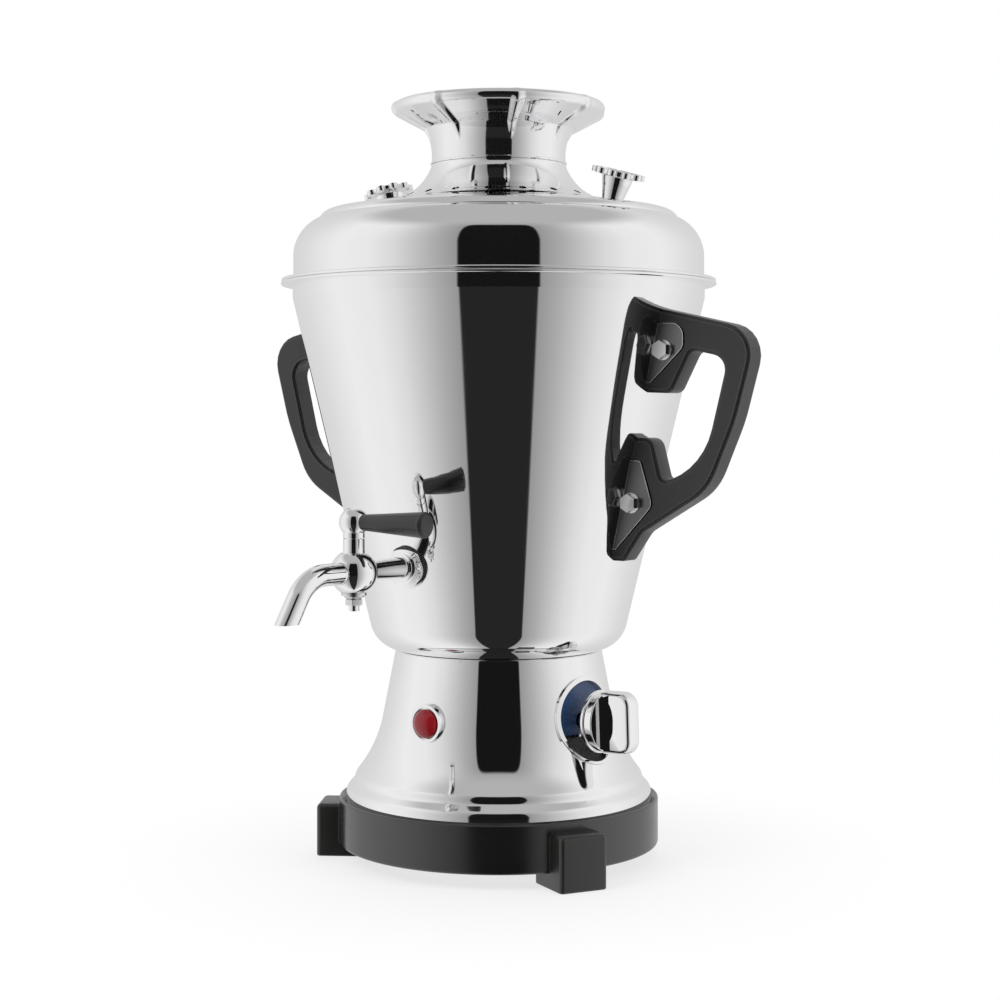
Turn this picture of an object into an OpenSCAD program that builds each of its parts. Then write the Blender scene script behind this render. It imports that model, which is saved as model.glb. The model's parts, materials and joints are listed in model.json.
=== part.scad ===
// Electric hot water urn: a tapered chrome tank on a flared base with a lift-off lid,
// a crown that carries a teapot, a plug-cock tap, two bolted handles and a thermostat.
// The urn stands on Z = 0 with its axis on Z. The tap points to -Y, the handles to +X and -X.

/* [Base] */
// Height of the joint between base and tank
joint_z = 100.5; // [94:0.5:105]
// Outer radius of the base at that joint
base_top_r = 50.2; // [47:0.2:51]
// Lean of the base's upper wall, in degrees
base_lean = 11; // [9:0.5:12]
// How far the base widens from that joint down to the black ring
base_spread = 23.8; // [23.4:0.1:25.4]
// Radius of the hollow sweep above the ring
sweep_r = 60; // [52:1:66]
// Steepest lean of the sweep, in degrees
sweep_lean = 37; // [34:0.5:38]
// Radius of the rounds in the soft step above the ring
step_r = 5; // [3.5:0.5:5.5]
// Lean of the wall under that step, in degrees
skirt_lean = 43; // [38:1:46]
// Length of the skirt's straight stretch
skirt_l = 2.5; // [1.5:0.1:2.7]
// Turn of the base under the tank, in degrees
base_turn = 3; // [-6:0.5:6]
// Thickness of the base's sheet
base_wall = 1.2; // [0.8:0.1:1.8]
// Width of the ledge that the tank stands on
ledge_w = 9; // [6:0.5:11]

/* [Ring and feet] */
// How far the black ring stands out from the base
ring_out = 3.4; // [3:0.1:8]
// Height of the ring
ring_h = 22.5; // [19:0.5:26]
// Height of the ring's underside above the table
ring_z = 7; // [5:0.5:9]
// Thickness of the ring's walls
ring_wall = 2.5; // [2:0.1:2.7]
// Depth to which the base sits in the ring
ring_rebate = 3; // [2:0.5:4]
// Width of each foot
foot_w = 24; // [20:1:28]
// Thickness of each foot outside the ring
foot_t = 10.4; // [8:0.2:13]
// Height of each foot
foot_h = 25.3; // [22:0.1:27]
// Length of the foot's leg under the ring
foot_leg = 14; // [12:0.5:16]
// Radius of the rounded corners of a foot
foot_round = 2; // [1:0.5:3]
// Radius of the foot screws
foot_screw_r = 2; // [1.5:0.1:2.5]
// Turn of the two front feet away from the base's front, in degrees
foot_turn = 60; // [52:1:66]

/* [Controls] */
// Height of the dial, the lamp and the cable gland
controls_z = 70.5; // [66:0.5:76]
// Turn of the thermostat dial away from the base's front, in degrees
dial_turn = 83.5; // [80:0.5:92]
// Turn of the lamp away from the base's front, in degrees
lamp_turn = -2; // [-6:0.5:10]
// Tilt of the dial and the lamp, which look square out of the leaning wall, in degrees
controls_tilt = 2; // [0:0.5:12]
// Outer radius of the dial's bezel
dial_r = 20.7; // [19.8:0.1:22]
// Width of that bezel
bezel_w = 0.9; // [0.6:0.1:2]
// How far the dial's straight lower edge lies under its centre
dial_edge = 7.5; // [6:0.5:9]
// Depth of the dial's cup
dial_depth = 13.5; // [13:0.5:15]
// How far the cup's face stands out from the wall beside it
dial_out = 1.6; // [1:0.1:3]
// Radius of the control knob
knob_r = 14.6; // [13:0.1:16]
// Thickness of the knob's disc
knob_disc_t = 6; // [4:0.5:8]
// Height of the knob's grip over its disc
knob_grip_h = 14.8; // [11:0.2:17]
// Thickness of the knob's grip
knob_grip_t = 9.4; // [7:0.2:11]
// Gap between the dial and the knob
knob_gap = 4; // [2:0.5:7]
// Width of the slanting web at each side of the grip's root
knob_web = 3.2; // [2:0.1:4]
// Radius of the thermostat's shaft
shaft_r = 3; // [2.5:0.1:3.5]
// Radius of the lamp's bezel
lamp_bezel_r = 9.3; // [8:0.1:10.5]
// Radius of the lamp's lens
lamp_lens_r = 6.7; // [5.5:0.1:7.5]
// Radius of the cord hole in the cable gland
gland_bore_r = 3.6; // [3:0.1:4.2]

/* [Tank] */
// Outer radius of the tank under its lip
tank_rim_r = 100; // [96:0.5:104]
// Outer radius that the tank's wall would have at its floor without the rounded corner
tank_foot_r = 59.4; // [57:0.2:61]
// Height of the tank from its floor to its lip
tank_h = 176; // [168:1:190]
// Radius of the rounded bottom corner
tank_corner = 15.5; // [13:0.5:17]
// Thickness of the tank's sheet
tank_wall = 1.2; // [0.8:0.1:1.8]
// Height of the upright band under the lip
tank_band = 6; // [4:0.5:9]
// How far the lip stands out past the tank's rim
lip_out = 5.7; // [4.6:0.1:9]
// Thickness of each of the two sheets in the lip
lip_t = 1.6; // [1.2:0.1:2]

/* [Heating] */
// Radius of the heating element's ring
heater_r = 30; // [27:0.5:32]
// Radius of the element's tube
heater_tube_r = 4; // [3.2:0.1:4.5]
// Height of the ring over the tank's floor
heater_up = 18; // [14:0.5:26]

/* [Shoulder and lid] */
// How far the shoulder stands in from the tank's rim
dome_in = 0.3; // [0:0.1:3]
// Height of the shoulder over the lip
dome_h = 32.2; // [30:0.2:36]
// Radius of the shoulder's curve
dome_round = 19.8; // [17:0.2:21]
// How far the shoulder's mouth lies inside the lid's edge
mouth_in = 4.2; // [3:0.1:6]
// Thickness of the shoulder's sheet
dome_wall = 1.2; // [0.8:0.1:1.8]
// How far the lid's edge stands in from the shoulder
lid_in = 12.5; // [11:0.1:13.5]
// Radius of the lid's rolled edge
lid_edge_r = 1.9; // [1.4:0.1:2.2]
// Slope of the lid, in degrees
lid_slope = 9.6; // [8.4:0.2:12]
// Radius of the hollow sweep up to the crown
lid_sweep_r = 27; // [24:0.5:30]
// Thickness of the lid's sheet
lid_wall = 1.1; // [0.8:0.1:1.6]
// Depth of the collar that keeps the lid in place
collar_h = 9; // [6:0.5:12]
// Number of steam holes
steam_n = 18; // [12:1:20]
// Radius of a steam hole
steam_r = 1.8; // [1.2:0.1:2.2]

/* [Crown] */
// Radius of the crown's neck
neck_r = 32.6; // [31:0.2:34]
// Height of the straight neck
neck_h = 7; // [4:0.2:8]
// Radius of the long curve over the neck
neck_curve = 22; // [18:1:26]
// Lean of the crown where the long curve ends, in degrees
neck_flare = 30; // [25:1:35]
// Radius of the short curve into the flare
flare_curve = 10; // [8:0.5:12]
// Lean of the flare, in degrees
flare_lean = 73; // [68:1:76]
// Length of the flare's straight stretch
flare_l = 8.8; // [7:0.2:10]
// Radius of the rolled rim
rim_r = 2.9; // [2.2:0.1:3.2]
// Thickness of the crown's sheet
crown_wall = 1.1; // [0.8:0.1:1.6]
// Number of pressed flutes
flute_n = 8; // [6:1:10]
// Width of a flute
flute_w = 4.6; // [3.5:0.1:6]
// Height of a flute over the flare
flute_h = 1.2; // [0.8:0.1:1.6]
// Turn of the first flute away from the tap, in degrees
flute_turn = 3.5; // [0:0.5:22]

/* [Lid knobs] */
// Distance of each knob from the urn's axis
grip_at = 66.7; // [62:0.5:72]
// Lean of each knob, in degrees
grip_lean = 16; // [12:0.5:20]
// Height of a knob's stem
grip_stem_h = 10; // [7:0.5:12]
// Radius of a knob's flower head
grip_head_r = 12.6; // [10:0.2:14]

/* [Handles] */
// Height of the handle's foot over the tank's floor
handle_up = 47.3; // [42:0.5:52]
// Height of the handle
handle_h = 114.6; // [110:0.5:118]
// How far the handle stands out from the tank
handle_reach = 51.6; // [48:0.2:56]
// Thickness of the handle
handle_t = 12; // [10:0.5:14]
// Depth of the grip bar
grip_bar = 11.4; // [9:0.1:13]
// Width of the step along the handle's edge
handle_step = 1.5; // [1:0.1:2]
// Radius of the handle bolts
bolt_r = 2.5; // [2:0.1:3]
// Thickness of the bracket ears
ear_t = 1.8; // [1.2:0.1:2.4]

/* [Tap] */
// Height of the tap's pipe
tap_z = 144; // [138:0.5:150]
// Distance of the tap's plug from the tank's wall
tap_out = 37.2; // [34:0.2:42]
// Outer radius of the tap's pipe and spout
pipe_r = 4.9; // [4.4:0.1:5.4]
// Radius of the valve's ball
valve_r = 10.6; // [9.5:0.1:11.5]
// Height of the valve
valve_h = 17.4; // [15:0.2:18.4]
// Radius of the plug's shaft
plug_r = 3.4; // [3:0.1:3.8]
// Radius of the ball on top of the plug
ball_r = 6.7; // [6:0.1:7.5]
// Height of the ball over the pipe
ball_up = 22.4; // [20.5:0.2:25]
// Length of the lever from the plug's axis
lever_l = 42; // [36:0.5:46]
// Radius of the lever's end
lever_end_r = 5.8; // [5:0.1:6.5]
// Radius of the spout's bend
spout_bend_r = 20; // [17:0.5:24]
// Angle of the spout's bend, in degrees
spout_angle = 57; // [50:1:65]
// Drop of the spout's mouth under the pipe
spout_drop = 19.6; // [18.5:0.1:23]
// Wall of the spout
spout_wall = 1.1; // [0.8:0.1:1.5]

/* [Hidden] */
$fn = 96;
fit = 0.05;      // radial clearance of a running fit
loose = 0.3;     // clearance between pieces of different bodies
eps = 0.01;
steps = 8;       // facets in a rounded stretch of an outline
fine = 360;      // segments of the solids that trim a piece to a curved wall

// ---- outlines ------------------------------------------------------------------------------

function arc(centre, r, from, to, n = steps) =
    [for (i = [0 : n]) let (a = from + (to - from) * i / n) centre + r * [cos(a), sin(a)]];

function sum(list, i = 0) = i < len(list) ? list[i] + sum(list, i + 1) : 0;

function reverse(list) = [for (i = [len(list) - 1 : -1 : 0]) list[i]];

// Unit normal on the right-hand side of the step from a to b.
function side(a, b) = let (v = b - a) [v[1], -v[0]] / norm(v);

// The open path p moved by d to its right-hand side.
function beside(p, d) =
    [for (i = [0 : len(p) - 1])
        let (last = len(p) - 1,
             before = side(p[max(i - 1, 0)], p[max(i, 1)]),
             after = side(p[min(i, last - 1)], p[min(i + 1, last)]))
        p[i] + (before + after) * d / (1 + before * after)];

// The path p without the points that repeat the one before them.
function distinct(p) = [for (i = [0 : len(p) - 1]) if (i == 0 || norm(p[i] - p[max(i - 1, 0)]) > eps) p[i]];

// The closed outline p drawn in by d; p runs anticlockwise.
function inset(p, d) =
    [for (i = [0 : len(p) - 1])
        let (n = len(p),
             before = side(p[(i + n - 1) % n], p[i]),
             after = side(p[i], p[(i + 1) % n]))
        p[i] - (before + after) * d / (1 + before * after)];

// A closed outline through corners [x, y, radius], each rounded to its radius.
function rounded(corners, n = 6) =
    [for (i = [0 : len(corners) - 1])
        let (m = len(corners),
             at = [corners[i][0], corners[i][1]],
             prev = corners[(i + m - 1) % m],
             next = corners[(i + 1) % m],
             r = corners[i][2],
             u = ([prev[0], prev[1]] - at) / norm([prev[0], prev[1]] - at),
             v = ([next[0], next[1]] - at) / norm([next[0], next[1]] - at),
             half = acos(u * v) / 2,
             centre = at + (u + v) / norm(u + v) * r / sin(half),
             p = at + u * r / tan(half) - centre,
             q = at + v * r / tan(half) - centre,
             from = atan2(p[1], p[0]),
             turn = atan2(p[0] * q[1] - p[1] * q[0], p * q))
        each (r > 0 ? [for (k = [0 : n]) centre + r * [cos(from + turn * k / n), sin(from + turn * k / n)]]
                    : [at])];

// A round of radius r on a wall that runs down and outwards, from one lean off the vertical to
// another: where it ends, and its points.
function round_end(p, r, from, to) =
    p + r * [abs(cos(from) - cos(to)), -abs(sin(from) - sin(to))];
function round_run(p, r, from, to, n = steps) = from < to
    ? arc(p + r * [cos(from), sin(from)], r, 180 + from, 180 + to, n)
    : arc(p - r * [cos(from), sin(from)], r, from, to, n);

// A sheet of the given thickness to the right of a path, spun about Z.
module spun_sheet(path, thickness) {
    rotate_extrude() polygon(concat(path, reverse(beside(path, thickness))));
}

// Points an axis outwards at a turn away from the tap, at height z: children draw along +Z.
module outward(turn, z) {
    translate([0, 0, z]) rotate([90, 0, turn]) children();
}

// A vertical plate in the plane through Z at a turn away from the tap: children are (radius, height).
module radial_plate(turn, thickness) {
    rotate([0, 0, turn - 90]) rotate([90, 0, 0]) linear_extrude(thickness, center = true) children();
}

// Turns children with the base.
module on_base() { rotate([0, 0, base_turn]) children(); }

// Points an axis square out of the base's leaning wall, as outward() does for a level one.
module on_wall(turn) {
    outward(turn, controls_z) translate([0, 0, controls_r]) rotate([-controls_tilt, 0, 0])
        translate([0, 0, -controls_r]) children();
}

module ring(outer, inner, h) {
    difference() {
        cylinder(r = outer, h = h);
        translate([0, 0, -1]) cylinder(r = inner, h = h + 2);
    }
}

module hex_nut(across, bore, h) {
    difference() {
        cylinder(r = across / sqrt(3), h = h, $fn = 6);
        translate([0, 0, -1]) cylinder(r = bore, h = h + 2);
    }
}

// ---- base ----------------------------------------------------------------------------------

base_foot_r = base_top_r + base_spread;
ring_r = base_foot_r + ring_out;
ring_top = ring_z + ring_h;
plate_z = ring_z + ring_wall;
plate_t = 1;
plate_r = ring_r - ring_wall - 2;
foot_screw_at = ring_r - ring_wall - 5;
hole_play = 0.2;

// The base's outer wall from the tank's ledge down to the ring: a lean, a hollow sweep out to
// the steepest lean, a straight, a soft step, the skirt, and a round back to upright.
lean_start = joint_z - 1;
step_lean = 10;
hem_r = step_r;
base_bottom = ring_top - ring_rebate;
hem_z = ring_top + 2;
rounds = [[sweep_r, base_lean, sweep_lean], [step_r, sweep_lean, step_lean],
          [step_r, step_lean, skirt_lean], [hem_r, skirt_lean, 0]];
rounds_dr = skirt_l * sin(skirt_lean) + sum([for (m = rounds) m[0] * abs(cos(m[1]) - cos(m[2]))]);
rounds_dz = skirt_l * cos(skirt_lean) + sum([for (m = rounds) m[0] * abs(sin(m[1]) - sin(m[2]))]);
// The upper wall and the straight fill what the rounds leave of the radius and the height.
free_dr = base_foot_r - base_top_r - rounds_dr;
free_dz = lean_start - hem_z - rounds_dz;
straight = (free_dr - free_dz * tan(base_lean)) / (sin(sweep_lean) - cos(sweep_lean) * tan(base_lean));
lean_dz = free_dz - straight * cos(sweep_lean);
at_sweep = [base_top_r + lean_dz * tan(base_lean), lean_start - lean_dz];
sweep_end = round_end(at_sweep, sweep_r, base_lean, sweep_lean);
at_step = sweep_end + straight * [sin(sweep_lean), -cos(sweep_lean)];
mid_step = round_end(at_step, step_r, sweep_lean, step_lean);
skirt_end = round_end(mid_step, step_r, step_lean, skirt_lean);
at_hem = skirt_end + skirt_l * [sin(skirt_lean), -cos(skirt_lean)];
base_path = distinct(concat(
    [[base_top_r - ledge_w, joint_z], [base_top_r - 1, joint_z], [base_top_r, lean_start]],
    round_run(at_sweep, sweep_r, base_lean, sweep_lean),
    round_run(at_step, step_r, sweep_lean, step_lean, 4),
    round_run(mid_step, step_r, step_lean, skirt_lean, 5),
    round_run(at_hem, hem_r, skirt_lean, 0, 5),
    [[base_foot_r, base_bottom]]));
controls_r = base_top_r + (lean_start - controls_z) * tan(base_lean);
dial_face = controls_r + dial_out;
dial_back = dial_face - dial_depth;
dial_wall = 1.2;

module base_solid(grow = 0) {
    rotate_extrude($fn = fine) polygon(concat([[0, joint_z]],
        beside(base_path, -grow), [[0, base_bottom]]));
}

module base_housing() {
    color("silver") on_base() difference() {
        spun_sheet(base_path, base_wall);
        on_wall(dial_turn) cylinder(r = cup_r + hole_play, h = 100);
        on_wall(lamp_turn) cylinder(r = lamp_body_r + hole_play, h = 100);
        outward(180, controls_z) cylinder(r = gland_r + hole_play, h = 100);
    }
}

module base_ring() {
    inner = ring_r - ring_wall;
    color([0.11, 0.11, 0.11]) on_base() difference() {
        rotate_extrude() polygon(concat(
            [[inner - 12, ring_z]],
            arc([ring_r - 1.5, ring_z + 1.5], 1.5, -90, 0, 4),
            arc([ring_r - 1, ring_top - 1], 1, 0, 90, 4),
            [[base_foot_r + fit, ring_top], [base_foot_r + fit, base_bottom],
             [inner - 4, base_bottom], [inner - 4, base_bottom - 2.5], [inner, base_bottom - 6],
             [inner, plate_z], [inner - 12, plate_z]]));
        for (turn = [foot_turn, -foot_turn, 180]) rotate([0, 0, turn])
            translate([0, -foot_screw_at, ring_z - 1]) cylinder(r = foot_screw_r + hole_play, h = ring_wall + 2);
    }
}

module foot(turn) {
    out = ring_r + foot_t;
    head_h = 2.4;
    color([0.13, 0.13, 0.13]) on_base() difference() {
        radial_plate(turn, foot_w) polygon(rounded([
            [ring_r - foot_leg, 0, 0.8], [out - 0.6, 0, 0.8], [out, foot_h, foot_round],
            [ring_r - foot_leg, foot_h, 0]], 4));
        translate([0, 0, ring_z]) cylinder(r = ring_r + fit, h = foot_h);
        rotate([0, 0, turn]) translate([0, -foot_screw_at, -1]) {
            cylinder(r = foot_screw_r + hole_play, h = ring_z + 2);
            cylinder(r = foot_screw_r * 2 + hole_play, h = head_h + 1);
        }
    }
}
module foot_front_right() { foot(foot_turn); }
module foot_front_left() { foot(-foot_turn); }
module foot_rear() { foot(180); }

module foot_screws() {
    head_z = 0.6;
    head_h = 1.8;
    color("silver") on_base() for (turn = [foot_turn, -foot_turn, 180]) rotate([0, 0, turn])
        translate([0, -foot_screw_at, head_z]) {
            cylinder(r = foot_screw_r * 2 - 0.2, h = head_h);
            cylinder(r = foot_screw_r, h = plate_z + plate_t + 4 - head_z);
        }
}

module foot_nuts() {
    color("gainsboro") on_base() for (turn = [foot_turn, -foot_turn, 180]) rotate([0, 0, turn])
        translate([0, -foot_screw_at, plate_z + plate_t]) hex_nut(foot_screw_r * 3.4, foot_screw_r + fit, 3);
}

module bottom_plate() {
    vent_n = 24;
    color("gray") on_base() translate([0, 0, plate_z]) difference() {
        cylinder(r = plate_r, h = plate_t);
        translate([0, 0, -1]) cylinder(r = tie_r + hole_play, h = plate_t + 2);
        for (turn = [foot_turn, -foot_turn, 180]) rotate([0, 0, turn])
            translate([0, -foot_screw_at, -1]) cylinder(r = foot_screw_r + hole_play, h = plate_t + 2);
        for (i = [0 : vent_n - 1]) rotate([0, 0, i * 360 / vent_n])
            translate([plate_r * 0.5, -1.2, -1]) cube([14, 2.4, plate_t + 2]);
    }
}

// ---- controls ------------------------------------------------------------------------------

lamp_body_r = 5.6;
gland_r = 7;
thermostat_w = 30;
thermostat_d = 20;
knob_back = dial_face + knob_gap;

module lamp_bezel() {
    color("silver") on_base() difference() {
        on_wall(lamp_turn) translate([0, 0, controls_r - 3]) difference() {
            cylinder(r1 = lamp_bezel_r + 0.4, r2 = lamp_bezel_r - 0.6, h = 5.2);
            translate([0, 0, -1]) cylinder(r = lamp_body_r + 0.1, h = 8);
            translate([0, 0, 3.2]) cylinder(r = lamp_lens_r + 0.7, h = 8);
        }
        base_solid(fit);
    }
}

module lamp_lens() {
    dome = lamp_lens_r * 1.25;
    sunk = sqrt(dome * dome - lamp_lens_r * lamp_lens_r);
    color([0.75, 0.05, 0.06]) on_base() difference() {
        on_wall(lamp_turn) translate([0, 0, controls_r + 0.3]) union() {
            cylinder(r = lamp_lens_r, h = 2.4);
            intersection() {
                translate([0, 0, 2.4 - sunk]) sphere(r = dome);
                translate([0, 0, 1]) cylinder(r = lamp_lens_r, h = dome);
            }
        }
        base_solid(fit);
    }
}

module lamp_body() {
    color([0.15, 0.15, 0.15]) on_base() on_wall(lamp_turn) {
        translate([0, 0, controls_r - 24]) cylinder(r = lamp_body_r, h = 24.3);
        for (x = [-2.5, 2.5]) translate([x - 1.4, -0.4, controls_r - 30]) cube([2.8, 0.8, 6.1]);
    }
}

cup_r = dial_r - bezel_w;
cup_wall = 1.2;
thermostat_bush_r = 5;
thermostat_screw_at = 9.5;
dial_plate_t = 1;
dial_plate_sunk = 6.2;
dial_well_sunk = 8;
bezel_t = 1.3;
edge_bar_t = 1.2;

// Everything above (or under) the dial's straight lower edge, in the dial's own frame.
module above_edge() {
    translate([-50, -dial_edge, -50]) cube([100, 100, 200]);
}

// A cup through the housing with a bezel around its upper part. The bezel hugs the curved wall and
// ends on the dial's straight lower edge, over the open well.
module dial_bezel() {
    color("silver") on_base() {
        intersection() {
            difference() {
                on_wall(dial_turn) intersection() {
                    translate([0, 0, dial_back]) ring(dial_r, cup_r - cup_wall, dial_depth + 10);
                    above_edge();
                }
                base_solid(fit);
            }
            base_solid(bezel_t);
        }
        intersection() {
            on_wall(dial_turn) difference() {
                translate([0, 0, dial_back]) cylinder(r = cup_r, h = dial_depth + 10);
                translate([0, 0, dial_back + cup_wall]) cylinder(r = cup_r - cup_wall, h = dial_depth + 20);
                translate([0, 0, dial_back - 1]) cylinder(r = thermostat_bush_r + hole_play, h = 4);
                for (x = [-1, 1]) translate([x * thermostat_screw_at, 0, dial_back - 1])
                    cylinder(r = 1.7, h = 4);
            }
            base_solid(0.4);
        }
        on_wall(dial_turn) difference() {
            intersection() {
                translate([-cup_r, -dial_edge, dial_face - dial_well_sunk])
                    cube([2 * cup_r, edge_bar_t, dial_well_sunk - dial_plate_sunk + 0.8]);
                cylinder(r = cup_r - cup_wall + eps, h = 100);
            }
            translate([0, 0, dial_back]) cylinder(r = shaft_r + 1.5, h = 40);
        }
    }
}

// The blue scale plate over the straight edge.
module dial_plate() {
    r = cup_r - cup_wall - fit;
    color([0.06, 0.14, 0.27]) on_base() on_wall(dial_turn) difference() {
        intersection() {
            translate([0, 0, dial_face - dial_plate_sunk - dial_plate_t]) cylinder(r = r, h = dial_plate_t);
            translate([0, edge_bar_t + fit, 0]) above_edge();
        }
        cylinder(r = shaft_r + 1, h = 100);
    }
}

// The dark well under the edge, which also backs the plate.
module dial_well() {
    r = cup_r - cup_wall - fit;
    plate_back = dial_face - dial_plate_sunk - dial_plate_t;
    color([0.08, 0.08, 0.08]) on_base() on_wall(dial_turn) difference() {
        union() {
            translate([0, 0, dial_face - dial_well_sunk - 1]) cylinder(r = r, h = 1);
            translate([0, 0, dial_back + cup_wall + 2]) ring(r, r - 1.5, dial_face - dial_well_sunk - 1.5 - dial_back - cup_wall - 2 + 0.6);
            for (x = [-1, 1]) translate([x * (r - 4.5), 3, dial_face - dial_well_sunk - eps])
                cylinder(r = 2, h = plate_back - dial_face + dial_well_sunk + eps);
        }
        cylinder(r = shaft_r + 1, h = 100);
    }
}

module thermostat() {
    w = thermostat_w;
    color([0.85, 0.83, 0.76]) on_base() on_wall(dial_turn) {
        difference() {
            union() {
                translate([-w / 2, -w / 2, dial_back - thermostat_d]) cube([w, w, thermostat_d - 2]);
                translate([0, 0, dial_back - 2 - eps]) cylinder(r = thermostat_bush_r + 1.5, h = 2 + eps);
                translate([0, 0, dial_back - 2]) cylinder(r = thermostat_bush_r, h = 6);
                for (x = [-1, 1]) translate([x * thermostat_screw_at, 0, dial_back - 2 - eps])
                    cylinder(r = 2.8, h = 2 + eps);
            }
            translate([0, 0, dial_back - thermostat_d + 6]) cylinder(r = shaft_r + fit, h = thermostat_d);
            for (x = [-1, 1]) translate([x * thermostat_screw_at, 0, dial_back - 8]) cylinder(r = 1.5, h = 10);
        }
        for (x = [-8, 0, 8])
            translate([x - 2, -w / 2 + 4, dial_back - thermostat_d - 7]) cube([4, 0.8, 7 + eps]);
    }
}

module thermostat_screws() {
    color("silver") on_base() on_wall(dial_turn) for (x = [-1, 1])
        translate([x * thermostat_screw_at, 0, dial_back - 7]) {
            cylinder(r = 1.5 - fit, h = 7 + cup_wall + 0.5);
            translate([0, 0, 7 + cup_wall]) cylinder(r = 2.8, h = 1.6);
        }
}

module thermostat_shaft() {
    color("silver") on_base() on_wall(dial_turn) difference() {
        translate([0, 0, dial_back - thermostat_d + 7])
            cylinder(r = shaft_r, h = knob_back + 12 - dial_back + thermostat_d - 7);
        translate([shaft_r - 1, -5, knob_back]) cube([5, 10, 20]);
    }
}

module control_knob() {
    bore_h = 12 + loose;
    color("silver") on_base() on_wall(dial_turn) translate([0, 0, knob_back]) difference() {
        union() {
            cylinder(r = knob_r, h = 2);
            translate([0, 0, 2 - eps]) cylinder(r = knob_r - 0.7, h = knob_disc_t - 2);
            intersection() {
                rotate([90, 0, 90]) linear_extrude(knob_grip_t, center = true) polygon(rounded([
                    [-knob_r, knob_disc_t - 1, 0], [knob_r, knob_disc_t - 1, 0],
                    [knob_r, knob_disc_t + knob_grip_h, 6.5], [-knob_r, knob_disc_t + knob_grip_h, 6.5]]));
                cylinder(r = knob_r, h = 60);
            }
            intersection() {
                rotate([90, 0, 0]) linear_extrude(2 * knob_r, center = true) polygon([
                    [-knob_grip_t / 2 - knob_web, knob_disc_t - 1], [knob_grip_t / 2 + knob_web, knob_disc_t - 1],
                    [knob_grip_t / 2 + knob_web, knob_disc_t], [knob_grip_t / 2, knob_disc_t + knob_web * 1.2],
                    [-knob_grip_t / 2, knob_disc_t + knob_web * 1.2], [-knob_grip_t / 2 - knob_web, knob_disc_t]]);
                cylinder(r = knob_r - 0.75, h = 60);
            }
        }
        translate([0, 0, -1]) difference() {
            cylinder(r = shaft_r + fit, h = bore_h + 1);
            translate([shaft_r - 1 + fit, -5, 0]) cube([5, 10, 20]);
        }
    }
}

module thermal_cutout() {
    at = [-18, 12, joint_z - 8];
    color([0.12, 0.12, 0.12]) translate(at) cylinder(r = 8, h = 8);
    color("silver") translate(at) for (x = [-4, 4])
        translate([x - 2, -0.4, -7]) cube([4, 0.8, 7 + eps]);
}

module terminal_block() {
    size = [16, 34, 14];
    color([0.9, 0.88, 0.82]) on_base() translate([-34 - size[0] / 2, -size[1] / 2, plate_z + plate_t]) difference() {
        cube(size);
        for (i = [-1 : 1]) translate([size[0] / 2, size[1] / 2 + i * 11, -1]) {
            translate([0, 0, 6]) cylinder(r = 2.2, h = size[2]);
            translate([-20, 0, 6]) rotate([0, 90, 0]) cylinder(r = 2, h = 40);
        }
    }
}

module cable_gland() {
    color([0.1, 0.1, 0.1]) on_base() difference() {
        outward(180, controls_z) {
            difference() {
                union() {
                    translate([0, 0, controls_r - 14]) cylinder(r = gland_r, h = 16);
                    translate([0, 0, controls_r - 1]) cylinder(r = gland_r + 3, h = 5);
                    translate([0, 0, controls_r + 4 - eps])
                        cylinder(r1 = gland_r, r2 = gland_bore_r + 2, h = 8);
                }
                translate([0, 0, controls_r - 20]) cylinder(r = gland_bore_r, h = 40);
            }
        }
        difference() {
            base_solid(fit);
            outward(180, controls_z) cylinder(r = gland_r, h = 100);
        }
    }
}

module gland_nut() {
    color([0.15, 0.15, 0.15]) on_base() outward(180, controls_z)
        translate([0, 0, controls_r - 11]) hex_nut(gland_r * 2 + 5, gland_r + fit, 4);
}

tie_r = 3;
module tie_rod() {
    color("silver") translate([0, 0, ring_z - 4]) cylinder(r = tie_r, h = joint_z - ring_z + 4);
    color("silver") translate([0, 0, joint_z - 5]) cylinder(r = tie_r + 4, h = 5);
}

module tie_nut() {
    color("silver") {
        translate([0, 0, plate_z - 1.2]) ring(tie_r * 3, tie_r + fit, 1.2);
        translate([0, 0, plate_z - 1.2 - 4 + eps]) hex_nut(tie_r * 3.3, tie_r + fit, 4);
    }
}

// ---- tank ----------------------------------------------------------------------------------

floor_z = joint_z;
lip_z = floor_z + tank_h;
lip_top = lip_z + lip_t;
band_z = lip_z - tank_band;
corner_z = floor_z + tank_corner;
lip_r = tank_rim_r + lip_out;
dome_r = tank_rim_r - dome_in;
lid_r = dome_r - lid_in;
mouth_r = lid_r - mouth_in;
taper = atan((tank_rim_r - tank_foot_r) / (band_z - floor_z));
corner_r = tank_foot_r + tank_corner * (tan(taper) - 1 / cos(taper));
tank_path = distinct(concat(
    [[0, floor_z]],
    arc([corner_r, corner_z], tank_corner, -90, -taper),
    [[tank_rim_r, band_z], [tank_rim_r, lip_top]]));

// Outer radius of the tank at height z, on its straight taper.
function tank_r(z) = tank_rim_r - (band_z - z) * tan(taper);

module tank_solid(grow = 0) {
    rotate_extrude($fn = fine) polygon(concat(beside(tank_path, grow), [[0, lip_top]]));
}

// The rounded edge of a lip sheet of thickness lip_t from radius r0 to r1, on height z.
module lip_sheet(r0, r1, z) {
    rotate_extrude() polygon(concat([[r0, z]],
        arc([r1 - lip_t / 2, z + lip_t / 2], lip_t / 2, -90, 90, 6), [[r0, z + lip_t]]));
}

heater_leg_turn = 18;
heater_hole_r = 4.6;
thermowell_at = [0, -14];
thermowell_r = 3.6;

module at_heater_legs() {
    for (turn = [180 - heater_leg_turn, 180 + heater_leg_turn]) rotate([0, 0, turn])
        translate([0, -heater_r, 0]) children();
}

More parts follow.
